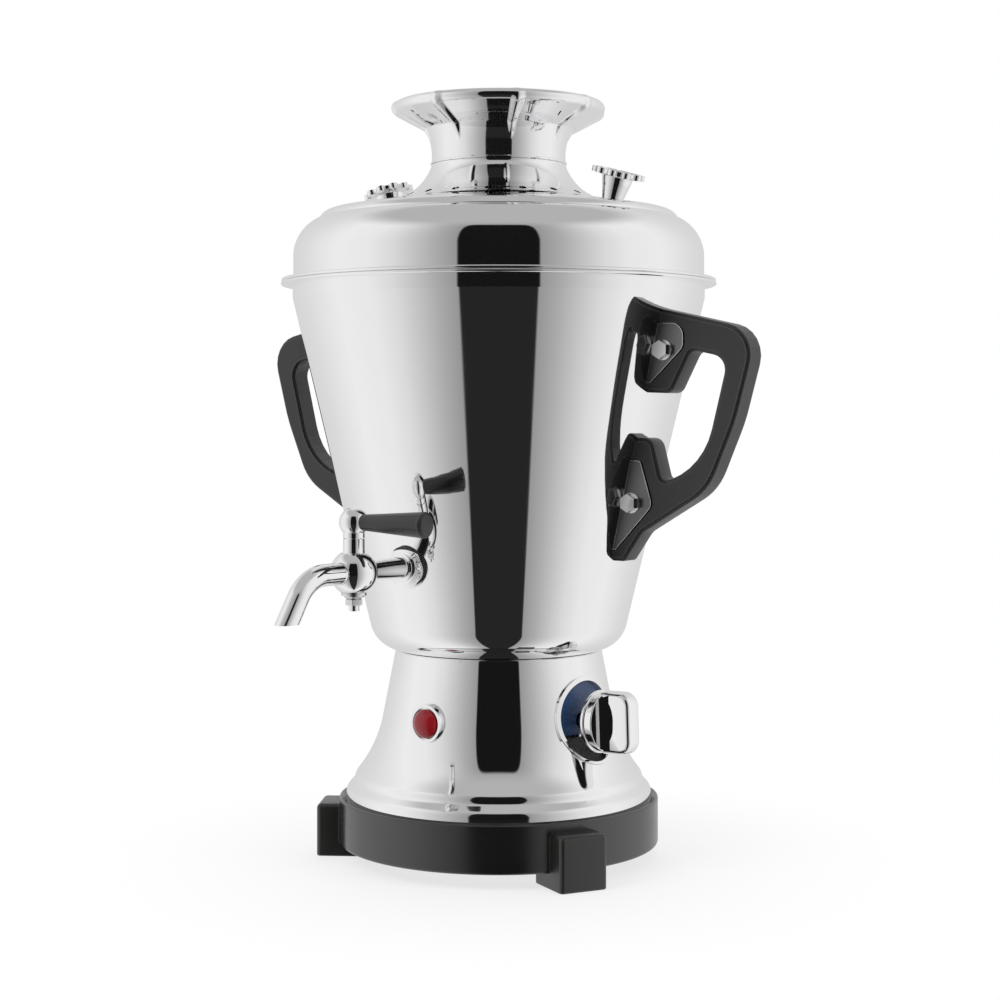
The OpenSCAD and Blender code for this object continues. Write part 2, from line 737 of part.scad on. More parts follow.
module tank_body() {
    color("silver") difference() {
        union() {
            spun_sheet(tank_path, -tank_wall);
            lip_sheet(tank_rim_r - tank_wall / 2, lip_r, lip_z);
        }
        at_heater_legs() translate([0, 0, floor_z - 1]) cylinder(r = heater_hole_r, h = tank_wall + 2);
        translate([thermowell_at[0], thermowell_at[1], floor_z - 1])
            cylinder(r = thermowell_r + hole_play, h = tank_wall + 2);
        outward(0, tap_z) cylinder(r = shank_r + hole_play, h = 120);
    }
}

module heating_element() {
    ring_at = floor_z + heater_up;
    open = heater_leg_turn;
    color([0.75, 0.72, 0.66]) {
        translate([0, 0, ring_at]) rotate([0, 0, 90 + open]) rotate_extrude(angle = 360 - 2 * open)
            translate([heater_r, 0]) circle(r = heater_tube_r, $fn = 32);
        at_heater_legs() {
            translate([0, 0, ring_at]) sphere(r = heater_tube_r + 0.4);
            translate([0, 0, floor_z - 14]) cylinder(r = heater_tube_r, h = heater_up + 14);
            translate([0, 0, floor_z + tank_wall + 1.5]) cylinder(r = heater_tube_r + 4, h = 3);
            translate([0, 0, floor_z - 20]) cylinder(r = 1.5, h = 7);
        }
    }
}

module heater_gaskets() {
    color([0.3, 0.1, 0.08]) at_heater_legs() translate([0, 0, floor_z + tank_wall])
        ring(heater_tube_r + 4, heater_tube_r + fit, 1.5);
}

module heater_nuts() {
    color([0.8, 0.65, 0.3]) at_heater_legs() translate([0, 0, floor_z - 5])
        hex_nut(heater_tube_r * 2 + 5, heater_tube_r + fit, 5);
}

module thermowell() {
    color([0.8, 0.65, 0.3]) translate([thermowell_at[0], thermowell_at[1], floor_z]) difference() {
        union() {
            translate([0, 0, -12]) cylinder(r = thermowell_r, h = 52);
            translate([0, 0, tank_wall]) cylinder(r = thermowell_r + 3, h = 2.5);
        }
        translate([0, 0, -13]) cylinder(r = thermowell_r - 1, h = 50);
    }
}

module thermowell_nut() {
    color([0.8, 0.65, 0.3]) translate([thermowell_at[0], thermowell_at[1], floor_z - 4])
        hex_nut(thermowell_r * 2 + 4, thermowell_r + fit, 4);
}

// ---- shoulder and lid ----------------------------------------------------------------------

dome_top = lip_top + dome_h;
dome_centre = [dome_r - dome_round, dome_top - dome_round];
// The curve ends beside the lid, on a ledge that the lid lies on.
ledge_r = lid_r + 0.6;
ledge_angle = acos((ledge_r - dome_centre[0]) / dome_round);
ledge_z = dome_centre[1] + dome_round * sin(ledge_angle) - 0.4;
dome_path = concat([[dome_r, lip_top]],
    arc(dome_centre, dome_round, 0, ledge_angle, 12),
    [[ledge_r - 0.4, ledge_z], [mouth_r, ledge_z], [mouth_r, ledge_z - collar_h]]);

module shoulder_ring() {
    color("silver") union() {
        spun_sheet(dome_path, -dome_wall);
        lip_sheet(dome_r - dome_wall / 2, lip_r - 0.3, lip_top);
    }
}

lid_z = ledge_z + fit;
lid_edge = [lid_r - lid_edge_r, lid_z + lid_edge_r];
neck_lean = 20;
seam_r = neck_r + 0.2;
lid_rise_from = 90 - lid_slope;
lid_sweep_end_r = seam_r + lid_sweep_r * (cos(neck_lean) - cos(lid_rise_from));
slope_start = [lid_edge[0], lid_edge[1] + lid_edge_r];
sweep_end_z = slope_start[1] + (slope_start[0] - lid_sweep_end_r) * tan(lid_slope);
lid_sweep_centre = [lid_sweep_end_r + lid_sweep_r * cos(lid_rise_from),
                    sweep_end_z + lid_sweep_r * sin(lid_rise_from)];
seam_z = lid_sweep_centre[1] - lid_sweep_r * sin(neck_lean);
lid_path = concat([slope_start],
    arc(lid_sweep_centre, lid_sweep_r, 180 + lid_rise_from, 180 + neck_lean, 10),
    [[seam_r, seam_z + 0.5]]);
steam_at = neck_r + 13.5;
steam_lean = asin((lid_sweep_centre[0] - steam_at) / lid_sweep_r);
steam_z = lid_sweep_centre[1] - lid_sweep_r * cos(steam_lean);

// Height of the lid's upper face at radius r, on its straight slope.
function lid_top(r) = slope_start[1] + (slope_start[0] - r) * tan(lid_slope);

module lid_plate() {
    color("silver") difference() {
        union() {
            spun_sheet(lid_path, -lid_wall);
            rotate_extrude() translate(lid_edge) circle(r = lid_edge_r, $fn = 32);
            rotate_extrude() polygon([[collar_r - 2, lid_z], [lid_edge[0], lid_z],
                [lid_edge[0], lid_z + 1], [collar_r - 2, lid_z + 1]]);
            rotate_extrude() polygon([[lid_edge[0] - 1, lid_z], [lid_edge[0], lid_z],
                slope_start, slope_start - [1, 0]]);
        }
        for (i = [0 : steam_n - 1]) rotate([0, 0, i * 360 / steam_n + 11])
            translate([0, -steam_at, steam_z]) rotate([steam_lean, 0, 0])
                translate([0, 0, -6]) cylinder(r = steam_r, h = 12, $fn = 24);
        for (s = [-1, 1]) lid_knob_place(s) translate([0, 0, -8]) cylinder(r = 2.1, h = 10);
    }
}

collar_r = mouth_r - 2 * loose;
module lid_collar() {
    color("silver") translate([0, 0, lid_z - collar_h]) difference() {
        cylinder(r = collar_r, h = collar_h);
        translate([0, 0, -1]) cylinder(r = collar_r - 1.1, h = collar_h + 2);
    }
}

// The crown's outer wall: a neck, a long curve, a short curve and a straight flare.
curve_start = [neck_r, seam_z + neck_h];
curve_end = rise_end(curve_start, neck_curve, 0, neck_flare);
flare_start = rise_end(curve_end, flare_curve, neck_flare, flare_lean);
flare_end = flare_start + flare_l * [sin(flare_lean), cos(flare_lean)];
rim_centre = flare_end + rim_r * [-cos(flare_lean), sin(flare_lean)];
throat_r = neck_r - 2.6;

function rise_end(p, r, from, to) = p + r * [cos(from) - cos(to), sin(to) - sin(from)];
function rise(p, r, from, to, n) = arc(p + r * [cos(from), -sin(from)], r, 180 - from, 180 - to, n);

module crown() {
    sleeve = 6;
    wall = distinct(concat([[neck_r, seam_z + 0.5]], rise(curve_start, neck_curve, 0, neck_flare, 8),
        rise(curve_end, flare_curve, neck_flare, flare_lean, 6), [flare_end]));
    color("silver") difference() {
        union() {
            spun_sheet(wall, -crown_wall);
            rotate_extrude() translate(rim_centre) circle(r = rim_r, $fn = 32);
            translate([0, 0, seam_z - sleeve]) cylinder(r = seam_r - lid_wall - fit, h = sleeve + 3);
            translate([0, 0, seam_z + 0.55]) cylinder(r = neck_r + 0.7, h = 1.4);
            for (i = [0 : flute_n - 1]) flute(flute_turn + i * 360 / flute_n);
        }
        translate([0, 0, seam_z - sleeve - 1]) cylinder(r = throat_r, h = sleeve + neck_h + 1);
    }
}

// One pressed flute: it rises out of the neck, follows the flare and ends on the rolled rim.
// It stands at full height over half its width and at half height over the rest.
module flute(turn) {
    for (size = [[flute_w, flute_h * 0.55], [flute_w * 0.55, flute_h]]) {
        h = size[1];
        foot = curve_end + neck_curve * [cos(neck_flare), -sin(neck_flare)];
        ridge = concat(
            arc(foot, neck_curve - h, 180 - neck_flare * 0.5, 180 - neck_flare, 4),
            arc(flare_start + flare_curve * [cos(flare_lean), -sin(flare_lean)], flare_curve - h,
                180 - neck_flare, 180 - flare_lean, 5),
            arc(rim_centre, rim_r + h * 0.5, flare_lean - 90, 60, 6));
        root = concat(arc(rim_centre, rim_r - 0.8, 60, flare_lean - 90, 3),
            arc(flare_start + flare_curve * [cos(flare_lean), -sin(flare_lean)], flare_curve + 0.4,
                180 - flare_lean, 180 - neck_flare, 5),
            arc(foot, neck_curve + 0.4, 180 - neck_flare, 180 - neck_flare * 0.5, 4));
        radial_plate(turn, size[0]) polygon(concat(ridge, root));
    }
}

// Places children on the lid's slope at a knob, with +Z along the knob's stem.
module lid_knob_place(s) {
    translate([s * grip_at, 0, lid_top(grip_at)]) rotate([0, s * grip_lean, 0]) children();
}

module lid_knob(s) {
    petals = 10;
    head_t = 2.6;
    dish = 1.4;
    color("silver") difference() {
        lid_knob_place(s) difference() {
            union() {
                translate([0, 0, -3]) cylinder(r1 = 4.4, r2 = 7.4, h = grip_stem_h + 3);
                translate([0, 0, grip_stem_h - eps])
                    cylinder(r1 = 7.4, r2 = grip_head_r - 1.6, h = 1.4);
                for (i = [0 : petals - 1]) rotate([0, 0, i * 360 / petals])
                    translate([grip_head_r - 2.4, 0, grip_stem_h + 0.6]) cylinder(r = 2.4, h = head_t, $fn = 24);
                translate([0, 0, grip_stem_h + 1]) cylinder(r = grip_head_r - 2, h = head_t - 0.6);
            }
            translate([0, 0, grip_stem_h + head_t - 0.5])
                cylinder(r1 = grip_head_r - 5, r2 = grip_head_r - 3.4, h = dish);
            translate([0, 0, -6]) cylinder(r = 1.9, h = 12);
        }
        rotate_extrude() polygon([[0, 0], [slope_start[0], 0], slope_start + [0, fit],
            [lid_sweep_end_r, sweep_end_z + fit], [0, sweep_end_z + fit]]);
    }
}
module lid_knob_right() { lid_knob(1); }
module lid_knob_left() { lid_knob(-1); }

module lid_knob_screws() {
    color("silver") for (s = [-1, 1]) lid_knob_place(s) {
        translate([0, 0, -lid_wall - 2.6]) cylinder(r = 1.85, h = lid_wall + 8);
        translate([0, 0, -lid_wall - 3.4]) cylinder(r = 4, h = 1.6);
    }
}

// ---- handles -------------------------------------------------------------------------------

handle_z = floor_z + handle_up;

// A corner of the handle: distance from the tank's wall, height over the foot, radius.
function corner(out, up, r) = [tank_r(handle_z + up) + out, handle_z + up, r];

inside = -5;
handle_corners = [
    corner(inside, handle_h + 0.9, 0),
    corner(inside, handle_h - 37.9, 0),
    corner(13.4, handle_h - 38.5, 5),
    corner(19.4, handle_h - 18.9, 4.5),
    corner(handle_reach - grip_bar - 1.2, handle_h - 22.8, 7),
    corner(handle_reach - grip_bar - 2.4, 42.8, 33),
    corner(handle_reach * 0.35, 35.4, 3.5),
    corner(7.7, 55.7, 5.5),
    corner(inside, 55.7, 0),
    corner(inside, -1.5, 0),
    corner(6.2, -1.5, 2),
    corner(12.8, 12.1, 9.4),
    corner(handle_reach - 8.3, 32.4, 27.9),
    corner(handle_reach - 1.9, 63.7, 82.8),
    corner(handle_reach, handle_h - 10.8, 14.5)];
handle_outline = rounded(handle_corners);

// The two bracket ears: a shield on the upper foot and a kite on the lower one.
upper_ear = [corner(inside, handle_h - 6.2, 0), corner(inside, handle_h - 33.7, 0),
    corner(2, handle_h - 33.7, 2), corner(15.6, handle_h - 17.7, 5), corner(13, handle_h - 6.7, 6)];
lower_ear = [corner(inside, 45.7, 0), corner(inside, 3.7, 0), corner(1.2, 3.7, 1),
    corner(16.4, 24.7, 5), corner(5, 45.2, 2)];
upper_bolt = [tank_r(handle_z + handle_h - 18.7) + 5.5, handle_z + handle_h - 18.7];
lower_bolt = [tank_r(handle_z + 25.7) + 5, handle_z + 25.7];
ear_proud = 1;
ear_face = handle_t / 2 + ear_proud - ear_t;
web_t = 1;

// Children are (radius, height) in the handle's plane, drawn from y0 to y1 across the plate.
module across(turn, y0, y1) {
    rotate([0, 0, turn - 90]) rotate([90, 0, 0]) translate([0, 0, -y1]) linear_extrude(y1 - y0) children();
}

module handle(turn) {
    core = inset(handle_outline, handle_step);
    color([0.12, 0.12, 0.12]) difference() {
        union() {
            radial_plate(turn, handle_t - 3) polygon(handle_outline);
            radial_plate(turn, handle_t) polygon(core);
        }
        tank_solid(fit);
        for (ear = [upper_ear, lower_ear]) {
            outline = inset(rounded(ear), -0.3);
            for (s = [-1, 1]) across(turn, s > 0 ? ear_face : -handle_t, s > 0 ? handle_t : -ear_face)
                polygon(outline);
            intersection() {
                across(turn, -handle_t, handle_t) polygon(outline);
                tank_solid(web_t + 2 * fit);
            }
        }
        for (bolt = [upper_bolt, lower_bolt]) across(turn, -handle_t, handle_t)
            translate(bolt) circle(r = bolt_r + hole_play, $fn = 48);
    }
}
module handle_right() { handle(90); }
module handle_left() { handle(-90); }

// A U-shaped bracket: two ears beside the handle's foot and a web on the tank's wall.
module bracket(turn, ear, bolt) {
    outline = rounded(ear);
    color("silver") difference() {
        union() {
            across(turn, ear_face, ear_face + ear_t) polygon(outline);
            across(turn, -ear_face - ear_t, -ear_face) polygon(outline);
            intersection() {
                across(turn, -ear_face - eps, ear_face + eps) polygon(outline);
                tank_solid(web_t + fit);
            }
        }
        tank_solid(fit);
        across(turn, -handle_t, handle_t) translate(bolt) circle(r = bolt_r + fit, $fn = 48);
    }
}
module brackets(turn) {
    bracket(turn, upper_ear, upper_bolt);
    bracket(turn, lower_ear, lower_bolt);
}
module brackets_right() { brackets(90); }
module brackets_left() { brackets(-90); }

// Children sit on the ear's outer face at each bolt, pointing away from the handle.
module at_bolts(front) {
    for (turn = [90, -90]) for (bolt = [upper_bolt, lower_bolt])
        rotate([0, 0, turn]) translate([0, -bolt[0], bolt[1]])
            rotate([0, (front ? -1 : 1) * (turn > 0 ? 1 : -1) * 90, 0])
                translate([0, 0, handle_t / 2 + ear_proud]) children();
}

module handle_bolts() {
    length = handle_t + 2 * ear_proud + 5;
    color("gainsboro") at_bolts(true) {
        ring(bolt_r * 1.9, bolt_r - eps, 0.8);
        translate([0, 0, 0.8 - eps]) cylinder(r = bolt_r * 1.75, h = 3.2, $fn = 6);
        translate([0, 0, -length]) cylinder(r = bolt_r, h = length + 1);
    }
}

module handle_nuts() {
    color("gainsboro") at_bolts(false) {
        ring(bolt_r * 1.9, bolt_r + fit, 0.8);
        translate([0, 0, 0.8 - eps]) hex_nut(bolt_r * 3.1, bolt_r + fit, 3);
    }
}

// ---- tap -----------------------------------------------------------------------------------

tap_wall_r = tank_r(tap_z);
plug_at = tap_wall_r + tap_out;
shank_r = 5;
bore_r = 2.6;
valve_bottom = tap_z - valve_h / 2;
valve_top = tap_z + valve_h / 2;
neck_top = tap_z + ball_up - ball_r - 0.6;
tap_neck_r = plug_r + 1.5;
spout_seat = plug_at + plug_r + 1.6;
escutcheon_r = 10.2;
escutcheon_out = 3.6;
gasket_t = 1.2;

// Places children at the plug's axis, at the height of the pipe.
module at_plug() { translate([0, -plug_at, tap_z]) children(); }

module tap_body() {
    color("silver") difference() {
        union() {
            at_plug() intersection() {
                sphere(r = valve_r);
                translate([0, 0, -valve_h / 2]) cylinder(r = valve_r + 1, h = valve_h);
            }
            at_plug() cylinder(r = tap_neck_r, h = neck_top - tap_z);
            outward(0, tap_z) translate([0, 0, tap_wall_r - 14])
                cylinder(r = shank_r, h = tap_out + 14);
            outward(0, tap_z) translate([0, 0, tap_wall_r + escutcheon_out])
                cylinder(r = shank_r + 1.4, h = 1.2);
        }
        translate([0, -plug_at, valve_bottom - 1]) cylinder(r = plug_r + fit, h = neck_top - valve_bottom + 2);
        outward(0, tap_z) cylinder(r = bore_r, h = plug_at + valve_r);
        outward(0, tap_z) translate([0, 0, spout_seat]) cylinder(r = pipe_r + fit, h = 20);
    }
}

// The spout's centre line: straight out, a bend downwards and an end tube, which is a hair
// wider than the bend and starts inside it.
module spout_run(r) {
    bend_at = plug_at + 20;
    end_l = 40;
    translate([0, -spout_seat, tap_z]) rotate([90, 0, 0]) cylinder(r = r, h = bend_at - spout_seat);
    translate([0, -bend_at, tap_z - spout_bend_r]) rotate([0, -90, 0])
        rotate_extrude(angle = -spout_angle) translate([spout_bend_r, 0]) circle(r = r);
    translate([0, -bend_at, tap_z - spout_bend_r]) rotate([spout_angle, 0, 0])
        translate([0, 0.3, spout_bend_r]) rotate([90, 0, 0]) cylinder(r = r + 0.03, h = end_l);
}

module spout() {
    color("silver") difference() {
        spout_run(pipe_r);
        translate([0, eps, 0]) spout_run(pipe_r - spout_wall);
        translate([-30, -plug_at - 90, tap_z - spout_drop - 60]) cube([60, 90, 60]);
    }
}

module tap_escutcheon() {
    color("silver") difference() {
        outward(0, tap_z) translate([0, 0, tap_wall_r - 6]) difference() {
            union() {
                cylinder(r = escutcheon_r, h = 6 + escutcheon_out - 1.2);
                translate([0, 0, 6 + escutcheon_out - 1.2 - eps])
                    cylinder(r1 = escutcheon_r, r2 = shank_r + 2.4, h = 1.2);
            }
            translate([0, 0, -1]) cylinder(r = shank_r + fit, h = 20);
        }
        tank_solid(gasket_t);
    }
}

module tap_gaskets() {
    inner_r = tap_wall_r - tank_wall;
    color([0.2, 0.2, 0.2]) {
        intersection() {
            difference() {
                tank_solid(gasket_t);
                tank_solid(fit);
            }
            outward(0, tap_z) translate([0, 0, tap_wall_r - 6]) ring(escutcheon_r - 0.6, shank_r + fit, 12);
        }
        difference() {
            outward(0, tap_z) translate([0, 0, inner_r - 6]) ring(escutcheon_r - 1, shank_r + fit, 9);
            rotate_extrude() polygon([[tank_r(tap_z - 40) - tank_wall - fit, tap_z - 40],
                [tank_rim_r + 20, tap_z - 40], [tank_rim_r + 20, tap_z + 40],
                [tank_r(tap_z + 40) - tank_wall - fit, tap_z + 40]]);
        }
    }
}

module tap_locknut() {
    color("silver") outward(0, tap_z) translate([0, 0, tap_wall_r - tank_wall - 6 - 4.5])
        hex_nut(shank_r * 3, shank_r + fit, 4.5);
}

// The key of the tap: plug, ball and lever turn together. The cross port is shut at rest.
module tap_plug() {
    tail_r = plug_r - 1;
    color("silver") difference() {
        union() {
            translate([0, -plug_at, valve_bottom + 0.6]) cylinder(r = plug_r, h = neck_top - valve_bottom);
            translate([0, -plug_at, valve_bottom - 8.4]) cylinder(r = tail_r, h = 9.2);
            translate([0, -plug_at, neck_top + loose]) cylinder(r = tap_neck_r, h = ball_r);
            translate([0, -plug_at, tap_z + ball_up]) sphere(r = ball_r);
        }
        translate([-20, -plug_at, tap_z]) rotate([0, 90, 0]) cylinder(r = bore_r, h = 40);
        translate([0, -plug_at, tap_z + ball_up]) rotate([0, 90, 0])
            cylinder(r = 2.05, h = ball_r + 2);
    }
}

module tap_lever() {
    root_r = 3.6;
    root_at = ball_r - 0.9;
    color([0.13, 0.13, 0.13]) difference() {
        translate([0, -plug_at, tap_z + ball_up]) rotate([0, 90, 0]) union() {
            translate([0, 0, 0.4]) cylinder(r = 2, h = root_at + 4);
            translate([0, 0, root_at])
                cylinder(r1 = root_r, r2 = lever_end_r, h = lever_l - root_at - 1.4);
            translate([0, 0, lever_l - 1.4 - eps])
                cylinder(r1 = lever_end_r, r2 = lever_end_r - 1.6, h = 1.4);
        }
        difference() {
            translate([0, -plug_at, tap_z + ball_up]) sphere(r = ball_r + fit);
            translate([0, -plug_at, tap_z + ball_up]) rotate([0, 90, 0]) cylinder(r = 2, h = 20);
        }
    }
}

washer_t = 1.3;
spring_h = 1.8;
module tap_washer() {
    color("silver") translate([0, -plug_at, valve_bottom - washer_t - 0.1])
        ring(5.8, plug_r - 1 + fit, washer_t);
}

module tap_spring() {
    base = valve_bottom - washer_t - 0.1 - spring_h;
    inner = plug_r - 1 + 0.1;
    color("gainsboro") translate([0, -plug_at, base]) rotate_extrude()
        polygon([[inner, 0], [inner + 0.7, 0], [4.6, spring_h - 0.6], [4.6, spring_h], [4, spring_h],
                 [inner, 0.6]]);
}

module tap_nut() {
    base = valve_bottom - washer_t - 0.1 - spring_h - 2.6;
    color("silver") translate([0, -plug_at, base]) hex_nut(7, plug_r - 1 + fit, 2.6);
}

// ---- assembly ------------------------------------------------------------------------------

base_ring();
foot_front_right();
foot_front_left();
foot_rear();
foot_screws();
foot_nuts();
bottom_plate();
base_housing();
lamp_bezel();
lamp_lens();
lamp_body();
dial_bezel();
dial_plate();
dial_well();
thermostat();
thermostat_screws();
thermal_cutout();
terminal_block();
cable_gland();
gland_nut();
tie_rod();
tie_nut();
tank_body();
heating_element();
heater_gaskets();
heater_nuts();
thermowell();
thermowell_nut();
shoulder_ring();
handle_right();
handle_left();
brackets_right();
brackets_left();
handle_bolts();
handle_nuts();
tap_body();
spout();
tap_escutcheon();
tap_gaskets();
tap_locknut();
tap_plug();
tap_lever();
tap_washer();
tap_spring();
tap_nut();
control_knob();
thermostat_shaft();
lid_plate();
lid_collar();
crown();
lid_knob_right();
lid_knob_left();
lid_knob_screws();
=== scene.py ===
# %% [markdown]
# # A hot water urn in polished steel
#
# The urn is a stack of spun sheet-steel shells: a flared base on a black ring, a tapered tank,
# a domed shoulder, a lift-off lid and a fluted crown that carries a teapot. A plug-cock tap,
# two bolted handles and a thermostat dial are fastened to them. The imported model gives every
# piece its place and size, and this script gives each piece its surface and its finish.

# %% The frame
import json
import math

import bmesh
import bpy
from mathutils import Matrix, Vector

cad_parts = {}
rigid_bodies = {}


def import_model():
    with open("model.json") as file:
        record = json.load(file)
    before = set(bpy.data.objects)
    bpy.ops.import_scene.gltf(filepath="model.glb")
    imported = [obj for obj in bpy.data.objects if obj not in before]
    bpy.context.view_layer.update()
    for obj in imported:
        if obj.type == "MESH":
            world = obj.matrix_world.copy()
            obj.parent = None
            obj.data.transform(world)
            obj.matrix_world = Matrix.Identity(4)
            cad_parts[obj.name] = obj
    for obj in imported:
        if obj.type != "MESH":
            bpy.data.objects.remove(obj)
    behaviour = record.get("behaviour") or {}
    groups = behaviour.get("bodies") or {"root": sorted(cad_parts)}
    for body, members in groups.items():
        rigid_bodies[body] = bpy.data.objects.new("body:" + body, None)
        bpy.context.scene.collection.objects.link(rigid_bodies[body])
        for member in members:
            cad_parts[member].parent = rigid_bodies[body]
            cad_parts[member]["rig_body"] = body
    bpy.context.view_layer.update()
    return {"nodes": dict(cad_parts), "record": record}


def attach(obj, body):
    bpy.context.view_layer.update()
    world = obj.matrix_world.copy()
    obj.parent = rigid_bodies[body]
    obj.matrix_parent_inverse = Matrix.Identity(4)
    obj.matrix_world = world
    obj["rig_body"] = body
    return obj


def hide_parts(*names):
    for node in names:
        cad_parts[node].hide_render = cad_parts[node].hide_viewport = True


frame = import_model()
nodes = frame["nodes"]
scene = bpy.context.scene
scene.view_settings.view_transform = "Standard"

# %% [markdown]
# ## Camera
#
# The camera stands a little under a metre from the urn's axis, between the tap and the dial, at
# the height of the tank's middle. It looks level, so upright edges stay upright. The urn would
# then stand low in the render, and a small vertical shift of the lens brings it back.

# %% Camera
MM = 0.001
EYE_TURN, EYE_DISTANCE, EYE_HEIGHT = 37, 976, 216.3
LENS, SENSOR, SHIFT = 72.03, 36, (0.0013, -0.09)


def direction(turn):
    """The level direction that lies a turn in degrees away from the tap, counted towards +X."""
    return Vector((math.sin(math.radians(turn)), -math.cos(math.radians(turn)), 0))


camera_data = bpy.data.cameras.new("camera")
camera_data.lens = LENS
camera_data.sensor_width = SENSOR
camera_data.shift_x, camera_data.shift_y = SHIFT
camera = bpy.data.objects.new("camera", camera_data)
camera.location = direction(EYE_TURN) * EYE_DISTANCE * MM + Vector((0, 0, EYE_HEIGHT * MM))
camera.rotation_euler = (-direction(EYE_TURN)).to_track_quat("-Z", "Y").to_euler()
scene.collection.objects.link(camera)
scene.camera = camera
print("camera at", [round(v, 3) for v in camera.location])

# %% [markdown]
# ## Studio
#
# Polished steel has hardly any colour of its own: it shows the room. The room is a white
# tent with a tall black flag behind the camera, grey beside the flag, brighter towards the sides
# and grey again overhead. That room is written as a function of direction, seen by reflections:
# SIDE_LIGHT lists the tent's grey at each turn away from the camera, and high powers of the
# angles give the flag its rounded corners. Everything else sees plain white, so paint and plastic
# show their own colours. The floor is pale paper that fades to pure white around the urn's shadow.

# %% Shader nodes
def add_node(tree, kind, inputs=None, **settings):
    """A new shader node with its settings and its inputs, each a value or another's output."""
    node = tree.nodes.new(kind)
    for key, value in settings.items():
        setattr(node, key, value)
    for key, value in (inputs or {}).items():
        if isinstance(value, bpy.types.NodeSocket):
            tree.links.new(value, node.inputs[key])
        else:
            node.inputs[key].default_value = value
    return node


def maths(tree, operation, *values):
    """The output of a Math node."""
    node = tree.nodes.new("ShaderNodeMath")
    node.operation = operation
    for socket, value in zip(node.inputs, values):
        if isinstance(value, bpy.types.NodeSocket):
            tree.links.new(value, socket)
        else:
            socket.default_value = value
    return node.outputs[0]


# %% Steps and mixes
def smooth_step(tree, value, start, end, low=0.0, high=1.0):
    """Eases from low to high while value goes from start to end."""
    node = add_node(tree, "ShaderNodeMapRange", interpolation_type="SMOOTHSTEP")
    tree.links.new(value, node.inputs["Value"])
    for key, number in (("From Min", start), ("From Max", end), ("To Min", low), ("To Max", high)):
        node.inputs[key].default_value = number
    return node.outputs["Result"]


def mix_colours(tree, factor, first, second):
    """A colour between two."""
    node = add_node(tree, "ShaderNodeMix", data_type="RGBA")
    for index, value in ((0, factor), (6, first), (7, second)):
        if isinstance(value, bpy.types.NodeSocket):
            tree.links.new(value, node.inputs[index])
        else:
            node.inputs[index].default_value = value
    return node.outputs[2]


def grey(level):
    """An opaque grey of that linear level."""
    return (level, level, level, 1)


print("half grey:", grey(0.5))

# %% Directions in the room
world = bpy.data.worlds.new("studio")
scene.world = world
world.use_nodes = True
room = world.node_tree
room.nodes.clear()
look = add_node(room, "ShaderNodeTexCoord").outputs["Generated"]
turned = add_node(room, "ShaderNodeVectorRotate",
                  {"Vector": look, "Angle": math.radians(-EYE_TURN)}, rotation_type="Z_AXIS")
parts = add_node(room, "ShaderNodeSeparateXYZ", {0: turned.outputs[0]}).outputs
turn_away = maths(room, "ABSOLUTE", maths(room, "DEGREES", maths(
    room, "ARCTAN2", parts[0], maths(room, "MULTIPLY", parts[1], -1.0))))
rise = maths(room, "DEGREES", maths(room, "ARCSINE", parts[2]))
print("directions:", len(room.nodes), "nodes")

# %% Tent and flag
FLAG_WIDTH, FLAG_TOP, FLAG_SQUARENESS, FLAG_EDGE = 22.3, 47.2, 9.0, (0.70, 1.30)
FLAG_BLACK, FLAG_FOOT_BLACK, FLAG_FOOT_RISE = grey(0.008), grey(0.020), (-18, -8)
CEILING, CEILING_RISE = grey(0.49), (40, 58)
SIDE_LIGHT = ((0, 0.30), (24, 0.35), (35, 0.46), (46, 0.60), (60, 0.78), (75, 0.90), (100, 0.94),
              (135, 0.78), (180, 0.66))

side_ramp = add_node(room, "ShaderNodeValToRGB", {0: maths(room, "DIVIDE", turn_away, 180.0)})
stops = side_ramp.color_ramp.elements
while len(stops) < len(SIDE_LIGHT):
    stops.new(0.5)
for stop, (angle, level) in zip(stops, SIDE_LIGHT):
    stop.position, stop.color = angle / 180, grey(level)
tent = mix_colours(room, smooth_step(room, rise, *CEILING_RISE), side_ramp.outputs[0], CEILING)
sideways = maths(room, "DIVIDE", turn_away, FLAG_WIDTH)
upwards = maths(room, "DIVIDE", maths(room, "MAXIMUM", rise, 0.0), FLAG_TOP)
flag_shape = maths(room, "ADD", maths(room, "POWER", sideways, FLAG_SQUARENESS),
                   maths(room, "POWER", upwards, FLAG_SQUARENESS))
flag = mix_colours(room, smooth_step(room, rise, *FLAG_FOOT_RISE), FLAG_FOOT_BLACK, FLAG_BLACK)
tent = mix_colours(room, smooth_step(room, flag_shape, *FLAG_EDGE), flag, tent)
print("tent:", len(stops), "levels of light from front to back")

# %% What each kind of ray sees
AMBIENT = 0.62

rays = add_node(room, "ShaderNodeLightPath").outputs
seen = add_node(room, "ShaderNodeBackground", {0: grey(1.0), 1: 1.0}).outputs[0]
lit = add_node(room, "ShaderNodeBackground", {0: grey(1.0), 1: AMBIENT}).outputs[0]
mirrored = add_node(room, "ShaderNodeBackground", {0: tent, 1: 1.0}).outputs[0]
seen_rays = maths(room, "MAXIMUM", rays["Is Camera Ray"], rays["Is Transmission Ray"])
plain = add_node(room, "ShaderNodeMixShader", {0: seen_rays, 1: lit, 2: seen}).outputs[0]
shown = add_node(room, "ShaderNodeMixShader",
                 {0: rays["Is Glossy Ray"], 1: plain, 2: mirrored}).outputs[0]
add_node(room, "ShaderNodeOutputWorld", {0: shown})
print("room:", len(room.nodes), "nodes")

# %% Floor
FLOOR_RADIUS, PAPER_GREY = 3.0, grey(0.93)
SHADOW_REACH, SHADOW_FADE = (0.08, 0.22), (0.72, 1.0)

